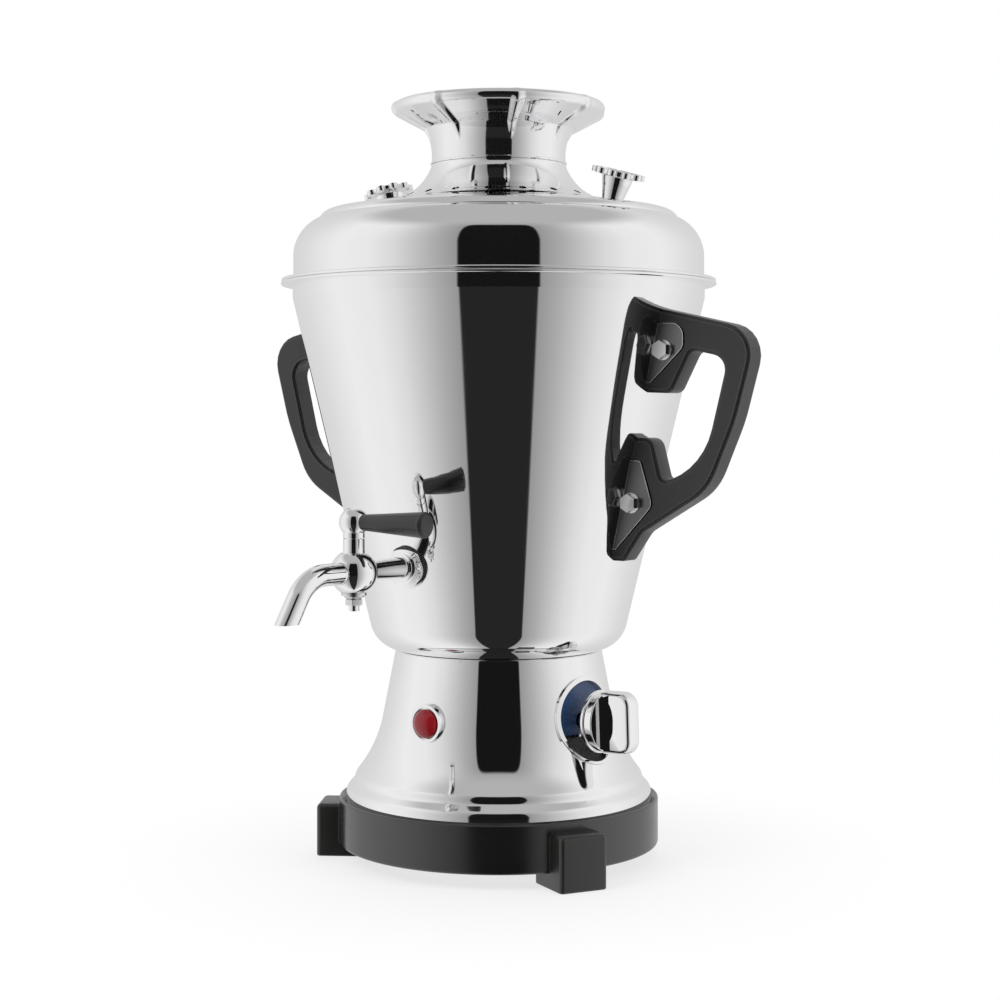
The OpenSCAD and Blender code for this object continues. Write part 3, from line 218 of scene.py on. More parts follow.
floor_bm = bmesh.new()
bmesh.ops.create_circle(floor_bm, cap_ends=True, radius=FLOOR_RADIUS, segments=96)
floor_mesh = bpy.data.meshes.new("floor")
floor_bm.to_mesh(floor_mesh)
floor_bm.free()
floor = bpy.data.objects.new("floor", floor_mesh)
scene.collection.objects.link(floor)
floor.visible_glossy = False

paper = bpy.data.materials.new("white_paper")
paper.use_nodes = True
tree = paper.node_tree
tree.nodes.clear()
place = add_node(tree, "ShaderNodeTexCoord").outputs["Object"]
distance = add_node(tree, "ShaderNodeVectorMath", {0: place}, operation="LENGTH").outputs["Value"]
paper_ray = add_node(tree, "ShaderNodeLightPath").outputs["Is Camera Ray"]
whiter = smooth_step(tree, distance, *SHADOW_REACH, *SHADOW_FADE)
fade = maths(tree, "MULTIPLY", whiter, paper_ray)
matt = add_node(tree, "ShaderNodeBsdfPrincipled", {"Base Color": PAPER_GREY, "Roughness": 0.9})
white = add_node(tree, "ShaderNodeEmission", {"Color": grey(1.0), "Strength": 1.0})
both = add_node(tree, "ShaderNodeMixShader", {0: fade, 1: matt.outputs[0], 2: white.outputs[0]})
add_node(tree, "ShaderNodeOutputMaterial", {0: both.outputs[0]})
floor_mesh.materials.append(paper)
print("floor:", 2 * FLOOR_RADIUS, "m across")

# %% Lamps
LAMP_SIZE, LAMP_AIM = 900, Vector((0, 0, 0.18))


def soft_lamp(name, turn, distance_mm, height_mm, watts):
    """A square softbox that looks at the urn's middle. Polished steel doesn't see it."""
    lamp = bpy.data.lights.new(name, "AREA")
    lamp.energy = watts
    lamp.size = LAMP_SIZE * MM
    holder = bpy.data.objects.new(name, lamp)
    holder.location = direction(turn) * distance_mm * MM + Vector((0, 0, height_mm * MM))
    holder.rotation_euler = (LAMP_AIM - holder.location).to_track_quat("-Z", "Y").to_euler()
    holder.visible_glossy = False
    scene.collection.objects.link(holder)


soft_lamp("key_lamp", EYE_TURN - 55, 1300, 1100, 9)
soft_lamp("fill_lamp", EYE_TURN + 60, 1400, 700, 6)
soft_lamp("top_lamp", EYE_TURN + 180, 900, 1500, 5)
print("lamps: key, fill and top")

# %% [markdown]
# ## How the sheet-metal pieces are made
#
# Each shell of a real urn is spun: a disc is pressed over a turning former until it takes the
# former's outline. Blender's spin operator does the same thing. A closed outline of radius
# and height is drawn once, with the sheet's thickness, and swept a full turn around the axis.
# Sculpting or subdividing a cage would be softer, but a mirror finish shows every wobble, and
# an outline with true arcs has none.

# %% Arcs and offsets
SAME_POINT = 0.005


def arc(centre, radius, start, end, step=4.0):
    """Points on an arc in degrees, about one point for each step."""
    count = max(2, round(abs(end - start) / step))
    turns = [math.radians(start + (end - start) * i / count) for i in range(count + 1)]
    return [(centre[0] + radius * math.cos(t), centre[1] + radius * math.sin(t)) for t in turns]


def distinct(points):
    """The points without those that repeat the one before them."""
    kept = points[:1]
    for point in points[1:]:
        if math.dist(point, kept[-1]) > SAME_POINT:
            kept.append(point)
    return kept


def beside(points, gap):
    """The open outline moved to its right-hand side by a gap, as a sheet's other side lies."""
    points = distinct(points)
    sides = []
    for (ax, ay), (bx, by) in zip(points, points[1:]):
        length = math.hypot(bx - ax, by - ay)
        sides.append(((by - ay) / length, (ax - bx) / length))
    moved = []
    for i, (x, y) in enumerate(points):
        before, after = sides[max(i - 1, 0)], sides[min(i, len(sides) - 1)]
        share = gap / (1 + before[0] * after[0] + before[1] * after[1])
        moved.append((x + (before[0] + after[0]) * share, y + (before[1] + after[1]) * share))
    return moved


print("quarter arc:", len(arc((0, 0), 10, 0, 90)), "points")

# %% Points along straights
HELD_STRAIGHT, HELD_EDGE = 3.0, 0.35


def held(points, closed=True):
    """The outline with extra points just inside the ends of its long straights, which keep the
    smooth shading of a round from spreading over the straight beside it."""
    points = distinct(points)
    ends = points[1:] + points[:1] if closed else points[1:]
    result = []
    for start, end in zip(points, ends):
        result.append(start)
        length = math.dist(start, end)
        if length > HELD_STRAIGHT:
            for share in (HELD_EDGE / length, 1 - HELD_EDGE / length):
                result.append(tuple(a + (b - a) * share for a, b in zip(start, end)))
    return result if closed else result + points[-1:]


print("held square:", len(held([(0, 0), (9, 0), (9, 9), (0, 9)])), "points")

# %% Making a piece
SHARP_ANGLE = math.radians(28)
FLAT_FACE, FLAT_EDGE = 12.0, math.radians(9)


def finish_piece(name, bm, body, slot, replaced, sharp=SHARP_ANGLE, flats=False):
    """Turns a mesh in millimetres into a smooth-shaded piece that rides on a body. With flats, a
    large flat face keeps its own shading beside the narrow strips of its rounded edges."""
    for face in bm.faces:
        face.smooth = True
    for edge in bm.edges:
        angle = edge.calc_face_angle(0) if len(edge.link_faces) == 2 else math.pi
        largest = max((face.calc_area() for face in edge.link_faces), default=0)
        edge.smooth = angle < sharp and not (flats and angle > FLAT_EDGE and largest > FLAT_FACE)
    bmesh.ops.scale(bm, vec=(MM, MM, MM), verts=bm.verts)
    mesh = bpy.data.meshes.new(name)
    bm.to_mesh(mesh)
    bm.free()
    piece = bpy.data.objects.new(name, mesh)
    scene.collection.objects.link(piece)
    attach(piece, body)
    if replaced:
        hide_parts(*replaced)
    mesh.materials.append(FINISHES[slot])
    print(f"{name}: {len(mesh.polygons)} faces, {slot}")


# %% Spinning
SEAM_JOIN = 0.0005


def spun(outline, steps=256, closed=True):
    """A mesh in millimetres: an outline of (radius, height) swept a full turn around Z."""
    bm = bmesh.new()
    verts = [bm.verts.new((r, 0, z)) for r, z in outline]
    edges = [bm.edges.new(pair) for pair in zip(verts, verts[1:])]
    if closed:
        edges.append(bm.edges.new((verts[-1], verts[0])))
    bmesh.ops.spin(bm, geom=verts + edges, cent=(0, 0, 0), axis=(0, 0, 1), dvec=(0, 0, 0),
                   angle=math.tau, steps=steps, use_merge=True, use_duplicate=False)
    bmesh.ops.remove_doubles(bm, verts=bm.verts, dist=SEAM_JOIN)
    bmesh.ops.recalc_face_normals(bm, faces=bm.faces)
    return bm


sample = spun([(9, 0), (10, 0), (10, 1), (9, 1)], steps=12)
print("square ring in 12 steps:", len(sample.faces), "faces")
sample.free()

# %% [markdown]
# ## Holes
#
# A hole is drilled with a boolean: a cylinder is placed where the drill goes, and what it covers
# is taken away. The exact solver is slow, but it leaves clean edges on a wall of one millimetre.
# The drill's place is a matrix that looks straight out of the urn's side.

# %% Drills and places
def rod(radius, length, matrix, steps=48):
    """A plain cylinder mesh along +Z of a frame, for cutting holes."""
    bm = bmesh.new()
    bmesh.ops.create_cone(bm, cap_ends=True, segments=steps, radius1=radius, radius2=radius,
                          depth=length, matrix=matrix @ Matrix.Translation((0, 0, length / 2)))
    return bm


def outward(turn, height, reach=0.0, tilt=0.0):
    """A frame at a reach from the axis whose +Z looks outwards at a turn away from the tap and
    whose +Y looks up, tilted back by an angle."""
    t = math.radians(turn)
    frame_out = Matrix(((math.cos(t), 0, math.sin(t), math.sin(t) * reach),
                        (math.sin(t), 0, -math.cos(t), -math.cos(t) * reach),
                        (0, 1, 0, height), (0, 0, 0, 1)))
    return frame_out @ Matrix.Rotation(math.radians(-tilt), 4, "X")


print("a place in front of the tap:", list(outward(0, 0, 100).translation))

# %% Drilling
def joined(meshes):
    """One mesh that holds several, which are used up."""
    together = bmesh.new()
    for bm in meshes:
        part = bpy.data.meshes.new("part")
        bm.to_mesh(part)
        bm.free()
        together.from_mesh(part)
        bpy.data.meshes.remove(part)
    return together


def with_holes(bm, cutters):
    """The mesh with each cutter's shape taken out of it by a boolean modifier."""
    helpers = []
    for name, shape in (("blank", bm), ("drill", joined(cutters))):
        mesh = bpy.data.meshes.new(name)
        shape.to_mesh(mesh)
        shape.free()
        helpers.append(bpy.data.objects.new(name, mesh))
        scene.collection.objects.link(helpers[-1])
    blank, drill = helpers
    cut = blank.modifiers.new("holes", "BOOLEAN")
    cut.operation, cut.object, cut.solver = "DIFFERENCE", drill, "EXACT"
    bpy.context.view_layer.update()
    shape = blank.evaluated_get(bpy.context.evaluated_depsgraph_get())
    result = bmesh.new()
    result.from_mesh(shape.data)
    for helper in helpers:
        mesh = helper.data
        bpy.data.objects.remove(helper)
        bpy.data.meshes.remove(mesh)
    return result


sample = with_holes(rod(9, 4, Matrix()), [rod(5, 6, Matrix.Translation((0, 0, -1)))])
print("drilled washer:", len(sample.faces), "faces")
sample.free()

# %% [markdown]
# ## Finishes
#
# A finish is a Principled shader with the marks that its process leaves. Three effects come back
# in many finishes, so each is a node group. Polishing leaves faint rings around the axis and
# patches that are a little duller. Moulding leaves a fine grain and slightly uneven colour. The
# third is a painted highlight: a lighter colour along the rounded edges, which are found by
# comparing the surface's normal with a rounded one.

# %% A new node group
def new_group(name, inputs, outputs):
    """A shader node group with float inputs (name, default) and outputs (name, kind)."""
    group = bpy.data.node_groups.new(name, "ShaderNodeTree")
    for label, value in inputs:
        socket = group.interface.new_socket(label, in_out="INPUT", socket_type="NodeSocketFloat")
        socket.default_value = value
    for label, kind in outputs:
        group.interface.new_socket(label, in_out="OUTPUT", socket_type="NodeSocket" + kind)
    entry = group.nodes.new("NodeGroupInput").outputs
    leave = group.nodes.new("NodeGroupOutput").inputs
    return group, entry, leave


# %% Polish marks
polish, entry, leave = new_group(
    "polish_marks", (("Low Roughness", 0.03), ("High Roughness", 0.07), ("Patch Scale", 14.0)),
    (("Roughness", "Float"), ("Height", "Float")))
place = add_node(polish, "ShaderNodeTexCoord").outputs["Object"]
patches = add_node(polish, "ShaderNodeTexNoise",
                   {"Vector": place, "Scale": entry["Patch Scale"], "Detail": 3.0}).outputs["Fac"]
spread = smooth_step(polish, patches, 0.35, 0.75)
span = maths(polish, "SUBTRACT", entry["High Roughness"], entry["Low Roughness"])
polish.links.new(maths(polish, "MULTIPLY_ADD", spread, span, entry["Low Roughness"]),
                 leave["Roughness"])
rings_place = add_node(polish, "ShaderNodeMapping", {"Vector": place, "Scale": (6, 6, 900)})
rings = add_node(polish, "ShaderNodeTexNoise",
                 {"Vector": rings_place.outputs[0], "Scale": 1.0, "Detail": 2.0}).outputs["Fac"]
polish.links.new(rings, leave["Height"])
print("polish marks:", len(polish.nodes), "nodes")

# %% Moulded grain
grain, entry, leave = new_group(
    "moulded_grain", (("Grain Scale", 2200.0), ("Patch Scale", 35.0)),
    (("Tone", "Float"), ("Height", "Float")))
place = add_node(grain, "ShaderNodeTexCoord").outputs["Object"]
fine = add_node(grain, "ShaderNodeTexNoise",
                {"Vector": place, "Scale": entry["Grain Scale"], "Detail": 2.0})
uneven = add_node(grain, "ShaderNodeTexNoise",
                  {"Vector": place, "Scale": entry["Patch Scale"], "Detail": 4.0})
grain.links.new(uneven.outputs["Fac"], leave["Tone"])
grain.links.new(fine.outputs["Fac"], leave["Height"])
print("moulded grain:", len(grain.nodes), "nodes")

# %% Painted edge highlight
highlight_group, entry, leave = new_group("painted_edge_highlight", (("Radius", 0.0007),), (("Mask", "Float"),))
# The mask of rounded edges, where the finishes paint a lighter colour as a highlight.
rounded = add_node(highlight_group, "ShaderNodeBevel", {"Radius": entry["Radius"]}, samples=6).outputs[0]
plain_normal = add_node(highlight_group, "ShaderNodeNewGeometry").outputs["Normal"]
agree = add_node(highlight_group, "ShaderNodeVectorMath", {0: rounded, 1: plain_normal},
                 operation="DOT_PRODUCT").outputs["Value"]
highlight_group.links.new(smooth_step(highlight_group, agree, 0.995, 0.93), leave["Mask"])
print("painted edge highlight:", len(highlight_group.nodes), "nodes")

# %% A new finish
FINISHES = {}


def new_finish(slot, **values):
    """An empty material with a Principled shader, kept under the name of its slot."""
    material = bpy.data.materials.new(slot)
    material.use_nodes = True
    shader = material.node_tree.nodes["Principled BSDF"]
    for key, value in values.items():
        shader.inputs[key.replace("_", " ")].default_value = value
    FINISHES[slot] = material
    return material.node_tree, shader


def paint_edge_highlight(tree, base, level, radius=0.0007):
    """The colour with a painted highlight of a grey level along its edges."""
    highlight_node = add_node(tree, "ShaderNodeGroup", node_tree=highlight_group)
    highlight_node.inputs["Radius"].default_value = radius
    return mix_colours(tree, highlight_node.outputs["Mask"], base, grey(level))


def add_relief(tree, shader, height, depth):
    """A bump of a depth in metres on the shader's normal."""
    bump = add_node(tree, "ShaderNodeBump", {"Height": height, "Distance": depth, "Strength": 1.0})
    tree.links.new(bump.outputs[0], shader.inputs["Normal"])


# %% [markdown]
# ## Metals
#
# The shells, the crown, the tap and the knob are polished like mirrors, so their roughness is
# close to zero and only the polish marks break it. The brackets are duller, with a painted
# highlight along their edges. Screws and inner parts keep the surface that drawing or rolling
# leaves. The thermostat's pocket and the nuts that seal the tank are brass.

# %% Metals
def metal(slot, colour, low, high, patch_scale=14.0, ring_height=0.00002, edge=0.0):
    """A polished or brushed metal. With an edge level, a lighter colour is painted on its rounded
    edges as a highlight.
    """
    tree, shader = new_finish(slot, Metallic=1.0)
    marks = add_node(tree, "ShaderNodeGroup", node_tree=polish)
    for key, value in zip(("Low Roughness", "High Roughness", "Patch Scale"),
                          (low, high, patch_scale)):
        marks.inputs[key].default_value = value
    tree.links.new(marks.outputs["Roughness"], shader.inputs["Roughness"])
    add_relief(tree, shader, marks.outputs["Height"], ring_height)
    place = add_node(tree, "ShaderNodeTexCoord").outputs["Object"]
    tint = add_node(tree, "ShaderNodeTexNoise", {"Vector": place, "Scale": 9.0}).outputs["Fac"]
    duller = tuple(channel * 0.97 for channel in colour)
    base = mix_colours(tree, tint, (*colour, 1), (*duller, 1))
    # A painted highlight along the rounded edges.
    if edge:
        base = paint_edge_highlight(tree, base, edge)
    tree.links.new(base, shader.inputs["Base Color"])


metal("chrome", (0.90, 0.90, 0.905), 0.025, 0.06, ring_height=0.000004)
# The brackets' bright edges are a painted highlight.
metal("bracket_steel", (0.20, 0.20, 0.20), 0.22, 0.34, 60.0, ring_height=0.000004, edge=0.85)
metal("bright_steel", (0.72, 0.72, 0.73), 0.16, 0.28, 60.0)
metal("sheet_steel", (0.50, 0.50, 0.51), 0.35, 0.5, 30.0)
metal("element_steel", (0.42, 0.40, 0.37), 0.32, 0.48, 40.0)
metal("brass", (0.80, 0.60, 0.30), 0.18, 0.34, 50.0)
print("metals:", ", ".join(FINISHES))

# %% [markdown]
# ## Plastics and rubber
#
# The ring is glossy, the feet and handles are satin, and the parts inside are matt. Black
# plastic is never fully black: a little grey and an uneven gloss make it solid, and the feet and
# handles get a painted highlight along their edges. The lamp's red cap and the blue dial are the
# only colours that show from outside.

# %% Plastics and rubber
def moulded(slot, colour, low, high, grain_scale=2200.0, depth=0.00003, specular=0.5, edge=0.0):
    """A moulded plastic or rubber: grain, uneven tone and gloss, and a paler painted highlight
    along the edges.
    """
    tree, shader = new_finish(slot, Specular_IOR_Level=specular)
    marks = add_node(tree, "ShaderNodeGroup", node_tree=grain)
    marks.inputs["Grain Scale"].default_value = grain_scale
    tone = marks.outputs["Tone"]
    lighter = tuple(channel * 1.3 + 0.001 for channel in colour)
    base = mix_colours(tree, tone, (*colour, 1), (*lighter, 1))
    # A painted highlight along the rounded edges.
    if edge:
        base = paint_edge_highlight(tree, base, edge, radius=0.0011)
    tree.links.new(base, shader.inputs["Base Color"])
    tree.links.new(smooth_step(tree, tone, 0.3, 0.7, low, high), shader.inputs["Roughness"])
    add_relief(tree, shader, marks.outputs["Height"], depth)


moulded("ring_plastic", (0.006, 0.006, 0.006), 0.16, 0.24, specular=1.0)
# The paler edges of the feet and handles are a painted highlight.
moulded("foot_plastic", (0.009, 0.009, 0.008), 0.26, 0.36, specular=0.75, edge=0.07)
moulded("handle_plastic", (0.009, 0.009, 0.009), 0.30, 0.40, specular=0.6, edge=0.045)
moulded("black_plastic", (0.016, 0.016, 0.017), 0.42, 0.56)
moulded("cream_plastic", (0.74, 0.70, 0.60), 0.38, 0.50)
moulded("rubber", (0.040, 0.036, 0.034), 0.62, 0.78)
moulded("red_lens", (0.22, 0.007, 0.011), 0.06, 0.12, 900.0, depth=0.0001)
moulded("dial_blue", (0.020, 0.055, 0.140), 0.22, 0.32, depth=0.00001)
print("finishes:", ", ".join(FINISHES))

# %% [markdown]
# ## Tank
#
# The tank is one deep-drawn shell: a flat floor, a rounded corner, a straight taper and a short
# upright band, which ends in a lip that is folded outwards. Its outline is worked out from a
# few lengths, so that the corner's arc meets the taper without a kink. Four holes are drilled
# through the sheet, for the tap, the element's two legs and the thermostat's pocket.

# %% Tank outline
FLOOR_Z, BAND_Z, LIP_Z = 100.5, 270.5, 276.5
TANK_FOOT_R, TANK_RIM_R, TANK_CORNER = 59.4, 100.0, 15.5
TANK_SHEET, LIP_R, LIP_T = 1.2, 105.7, 1.6
TAPER = math.atan((TANK_RIM_R - TANK_FOOT_R) / (BAND_Z - FLOOR_Z))
CORNER_R = TANK_FOOT_R + TANK_CORNER * (math.tan(TAPER) - 1 / math.cos(TAPER))

tank_wall = [(0, FLOOR_Z)] + arc((CORNER_R, FLOOR_Z + TANK_CORNER), TANK_CORNER, -90,
                                 -math.degrees(TAPER), 3)
tank_wall += [(TANK_RIM_R, BAND_Z), (TANK_RIM_R, LIP_Z)]
lip_edge = arc((LIP_R - LIP_T / 2, LIP_Z + LIP_T / 2), LIP_T / 2, -90, 90, 15)
tank_inner = beside(tank_wall, -TANK_SHEET)
tank_inner[-1] = (tank_inner[-1][0], LIP_Z + LIP_T)
tank_outline = held(tank_wall + lip_edge + tank_inner[::-1], closed=False)
print("tank wall leans", round(math.degrees(TAPER), 2), "degrees")

# %% Tank
TAP_Z, TAP_HOLE_R = 144.0, 5.2
LEG_AT, LEG_TURN, LEG_HOLE_R, WELL_AT, WELL_HOLE_R = 30.0, math.radians(18), 4.6, 14.0, 3.8
TAP_DRILL, FLOOR_DRILL = 30.0, 6.0


def tank_radius(height):
    """The tank's outer radius on its taper."""
    return TANK_RIM_R - (BAND_Z - height) * math.tan(TAPER)


holes = [rod(TAP_HOLE_R, TAP_DRILL, outward(0, TAP_Z, tank_radius(TAP_Z) - TAP_DRILL / 2))]
leg_x, leg_y = LEG_AT * math.sin(LEG_TURN), LEG_AT * math.cos(LEG_TURN)
for hole_r, x, y in ((LEG_HOLE_R, -leg_x, leg_y), (LEG_HOLE_R, leg_x, leg_y),
                     (WELL_HOLE_R, 0, -WELL_AT)):
    below = Matrix.Translation((x, y, FLOOR_Z - FLOOR_DRILL / 2))
    holes.append(rod(hole_r, FLOOR_DRILL, below))
finish_piece("tank", with_holes(spun(tank_outline, closed=False), holes),
             "urn", "chrome", ["tank_body"])
print("tap hole at radius", round(tank_radius(TAP_Z), 2), "mm")

# %% [markdown]
# ## Shoulder
#
# The shoulder is a second shell that closes the tank's mouth. It starts with a flange on the
# tank's lip, rises, curves inwards and ends in a ledge and a short neck that hold the lid.

# %% Shoulder
DOME_R, DOME_ROUND, DOME_CENTRE = 99.7, 19.8, (79.9, 290.5)
LEDGE_ANGLE, LEDGE_STEP, LEDGE_Z, MOUTH_R, MOUTH_DEPTH = 66.485, 0.4, 308.256, 83.0, 9.0
FLANGE_IN, SEAT_Z = 0.3, LIP_Z + LIP_T

dome_wall = [(DOME_R, SEAT_Z)] + arc(DOME_CENTRE, DOME_ROUND, 0, LEDGE_ANGLE, 2.5)
dome_wall += [(dome_wall[-1][0] - LEDGE_STEP, LEDGE_Z), (MOUTH_R, LEDGE_Z),
              (MOUTH_R, LEDGE_Z - MOUTH_DEPTH)]
dome_inner = beside(dome_wall, -TANK_SHEET)
flange = arc((LIP_R - FLANGE_IN - LIP_T / 2, SEAT_Z + LIP_T / 2), LIP_T / 2, -90, 90, 15)
dome_outline = held([(DOME_R - TANK_SHEET, SEAT_Z)] + flange + [(DOME_R, SEAT_Z + LIP_T)]
                    + dome_wall[1:] + dome_inner[:0:-1])
finish_piece("shoulder", spun(dome_outline), "urn", "chrome", ["shoulder_ring"])

# %% [markdown]
# ## Lid
#
# The lid is a third shell: a thin hem, a wide round edge, a shallow slope and a hollow sweep up to
# the crown. Eighteen steam holes are drilled around the sweep. They are cut with a boolean,
# because the holes have to go through the sheet and show its thickness.

# %% Lid outline
LID_SHEET, LID_PLAY, LID_BORE_R = 1.1, 0.05, 80.4
LID_EDGE_CENTRE, LID_EDGE_R = (81.55, 306.51), 6.14
LID_HEM_R, LID_HEM_AT, LID_HEM_LEAN, LID_HEM_BACK = 0.5, 86.7, 24, ((84.3, 2.6), (84.1, 1))
SWEEP_CENTRE, SWEEP_R = (58.17, 344.08), 27.0
LID_SLOPE, NECK_LEAN, SEAM_Z, NECK_R, NECK_TUCK = 9.6, 20.0, 334.843, 32.6, (0.2, 0.5)
LID_Z = LEDGE_Z + LID_PLAY

lid_edge = arc((LID_HEM_AT, LID_Z + LID_HEM_R), LID_HEM_R, -90, LID_HEM_LEAN, 15)
lid_edge += arc(LID_EDGE_CENTRE, LID_EDGE_R, LID_HEM_LEAN, 90 - LID_SLOPE, 3)
lid_face = lid_edge[-1:] + arc(SWEEP_CENTRE, SWEEP_R, 270 - LID_SLOPE, 180 + NECK_LEAN, 2)
lid_face.append((NECK_R + NECK_TUCK[0], SEAM_Z + NECK_TUCK[1]))
lid_outline = [(LID_BORE_R, LID_Z)] + lid_edge + lid_face[1:]
lid_outline += beside(lid_face, -LID_SHEET)[:0:-1]
lid_outline += [(radius, LID_Z + height) for radius, height in LID_HEM_BACK]
lid_outline.append((LID_BORE_R, LID_Z + 1))
print("lid outline:", len(lid_outline), "points")

# %% Steam holes
STEAM_HOLES, STEAM_R, STEAM_AT, STEAM_TURN, STEAM_DRILL = 18, 1.8, 46.1, 11.0, 12.0

steam_lean = math.asin((SWEEP_CENTRE[0] - STEAM_AT) / SWEEP_R)
steam_z = SWEEP_CENTRE[1] - SWEEP_R * math.cos(steam_lean)
lean = Matrix.Translation((0, -STEAM_AT, steam_z)) @ Matrix.Rotation(steam_lean, 4, "X")
steam = []
for hole in range(STEAM_HOLES):
    around = Matrix.Rotation(math.radians(hole * 360 / STEAM_HOLES + STEAM_TURN), 4, "Z")
    start = Matrix.Translation((0, 0, -STEAM_DRILL / 2))
    steam.append(rod(STEAM_R, STEAM_DRILL, around @ lean @ start, 32))
finish_piece("lid", with_holes(spun(held(lid_outline)), steam), "lid", "chrome", ["lid_plate"])
print("steam holes lean", round(math.degrees(steam_lean), 1), "degrees")

# %% [markdown]
# ## Crown
#
# The crown carries the teapot. It is a flared collar with a rolled rim, and eight flutes are
# pressed into it from below, so that the pot stands on ridges and steam passes between them.
# The plain collar is spun first, with closely spaced points. Then each point near a flute is
# raised along the wall's own direction, most on the flute's line and less to both sides, which
# is what the press does. The flutes fade out over the rolled rim.

# %% Leaning walls and even points
def leant(radius, end, start_lean, end_lean, step=2):
    """A wall that leans outwards more and more and ends at a point, as an arc of that radius."""
    lean = math.radians(end_lean)
    centre = (end[0] + radius * math.cos(lean), end[1] - radius * math.sin(lean))
    return arc(centre, radius, 180 - start_lean, 180 - end_lean, step)


def evenly(points, longest):
    """The closed outline with its long straights split into stretches no longer than a length."""
    points = distinct(points)
    result = []
    for start, end in zip(points, points[1:] + points[:1]):
        count = max(1, math.ceil(math.dist(start, end) / longest))
        result += [tuple(a + (b - a) * i / count for a, b in zip(start, end)) for i in range(count)]
    return result


print("even square:", len(evenly([(0, 0), (9, 0), (9, 9), (0, 9)], 3)), "points")

# %% Collar
CROWN_SHEET, RIM_R, THROAT_R, RIM_CENTRE = 1.1, 2.9, 30.0, (48.852, 362.752)
CURVE_R, CURVE_END, NECK_FLARE = 24.1, (35.83, 352.30), 30.0
CREASE_R, CREASE_END, FLARE_LEAN, RIM_END = 1.2, (36.303, 352.76), 61.9, 244
BEAD_R, BEAD_Z, TUBE_R, TUBE_DEPTH, TUBE_TOP = 0.7, SEAM_Z + 1.25, NECK_R - 0.95, 6, SEAM_Z + 3
CROWN_STEPS, CROWN_SPACING = 480, 0.8

rim = arc(RIM_CENTRE, RIM_R, -FLARE_LEAN, RIM_END, 8)
crown_face = [(NECK_R, SEAM_Z + 2)] + leant(CURVE_R, CURVE_END, 0, NECK_FLARE)
crown_face += leant(CREASE_R, CREASE_END, NECK_FLARE, FLARE_LEAN, 8) + rim[:1]
crown_back = [point for point in beside(crown_face, -CROWN_SHEET)[:-1] if point[1] > TUBE_TOP]
crown_outline = [(THROAT_R, SEAM_Z - TUBE_DEPTH), (TUBE_R, SEAM_Z - TUBE_DEPTH),
                 (TUBE_R, BEAD_Z - BEAD_R)]
crown_outline += arc((NECK_R, BEAD_Z), BEAD_R, -90, 90, 18) + crown_face[1:-1] + rim
crown_outline += crown_back[::-1] + [(NECK_R - CROWN_SHEET, TUBE_TOP), (THROAT_R, TUBE_TOP)]
crown_bm = spun(evenly(crown_outline, CROWN_SPACING), CROWN_STEPS)
print("collar before pressing:", len(crown_bm.verts), "points")

# %% The press
FLUTES, FLUTE_TURN, FLUTE_RISE, FLUTE_FOOT, FLUTE_RUN = 8, 2.0, 1.7, 344.5, 9.0
FLUTE_ROOT, FLUTE_HEAD, FLUTE_SPREAD, FLUTE_SOFT = 0.9, 3.5, 15.5, 0.02
CURVE_FOOT, FACE_DEPTH, BACK_FADE_R, BACK_FADE = SEAM_Z + 5, 0.3, 47.0, 4.0
RIM_SKIN, RIM_BACK, RIM_FADE, CROWN_SHARP = 0.05, 170, 162, math.radians(50)


def clamp(value):
    """The value held between 0 and 1."""
    return min(1.0, max(0.0, value))


def press(radius, height):
    """How far and in which direction (out, up) the press moves a point on a flute's line."""
    from_rim = Vector((radius - RIM_CENTRE[0], height - RIM_CENTRE[1]))
    around = math.degrees(math.atan2(from_rim.y, from_rim.x))
    if from_rim.length > RIM_R - RIM_SKIN and -FLARE_LEAN <= around <= RIM_BACK:
        return clamp(1 - (around + FLARE_LEAN) / RIM_FADE), from_rim.normalized()
    curve = clamp((height - CURVE_FOOT) / (CURVE_END[1] - CURVE_FOOT))
    lean = math.radians(NECK_FLARE * curve if height <= CURVE_END[1] else FLARE_LEAN)
    out, up = math.cos(lean), -math.sin(lean)
    depth = (radius - CREASE_END[0]) * out + (height - CREASE_END[1]) * up
    if height <= CURVE_END[1] or depth > -FACE_DEPTH:
        return 1.0, Vector((out, up))
    return clamp((BACK_FADE_R - radius) / BACK_FADE), Vector((out, up))


print("push at the crease:", [round(v, 2) for v in press(*CREASE_END)[1]])

# %% Pressing the flutes
flute_lines = [math.radians(FLUTE_TURN + 360 / FLUTES * i) for i in range(FLUTES)]
pressed = 0
for vert in crown_bm.verts:
    radius, height = math.hypot(vert.co.x, vert.co.y), vert.co.z
    if height < FLUTE_FOOT:
        continue
    turn = math.atan2(vert.co.x, -vert.co.y)
    away = min(abs(math.remainder(turn - line, math.tau)) for line in flute_lines) * radius
    run = clamp((height - FLUTE_FOOT) / FLUTE_SPREAD)
    across = away / (FLUTE_ROOT + (FLUTE_HEAD - FLUTE_ROOT) * run)
    if across < 1:
        ridge = 1 - math.sqrt((across ** 2 + FLUTE_SOFT) / (1 + FLUTE_SOFT))
        share, push = press(radius, height)
        reach = FLUTE_RISE * ridge * share * clamp((height - FLUTE_FOOT) / FLUTE_RUN)
        vert.co += Vector((math.sin(turn) * push.x, -math.cos(turn) * push.x, push.y)) * reach
        pressed += 1
finish_piece("crown_fluted", crown_bm, "lid", "chrome", ["crown"], sharp=CROWN_SHARP)
print("the press moved", pressed, "points")

# %% [markdown]
# ## Base
#
# The base is spun as well: a steep upper wall, a hollow sweep, a soft step and a skirt that
# ends inside the black ring. Its rounds have to meet the straights between them without a kink, so
# the length of the long straight is worked out from what the rounds leave over. Holes for the
# dial, the lamp and the cord gland go through it. The axes of the dial and the lamp tilt up by
# two degrees.

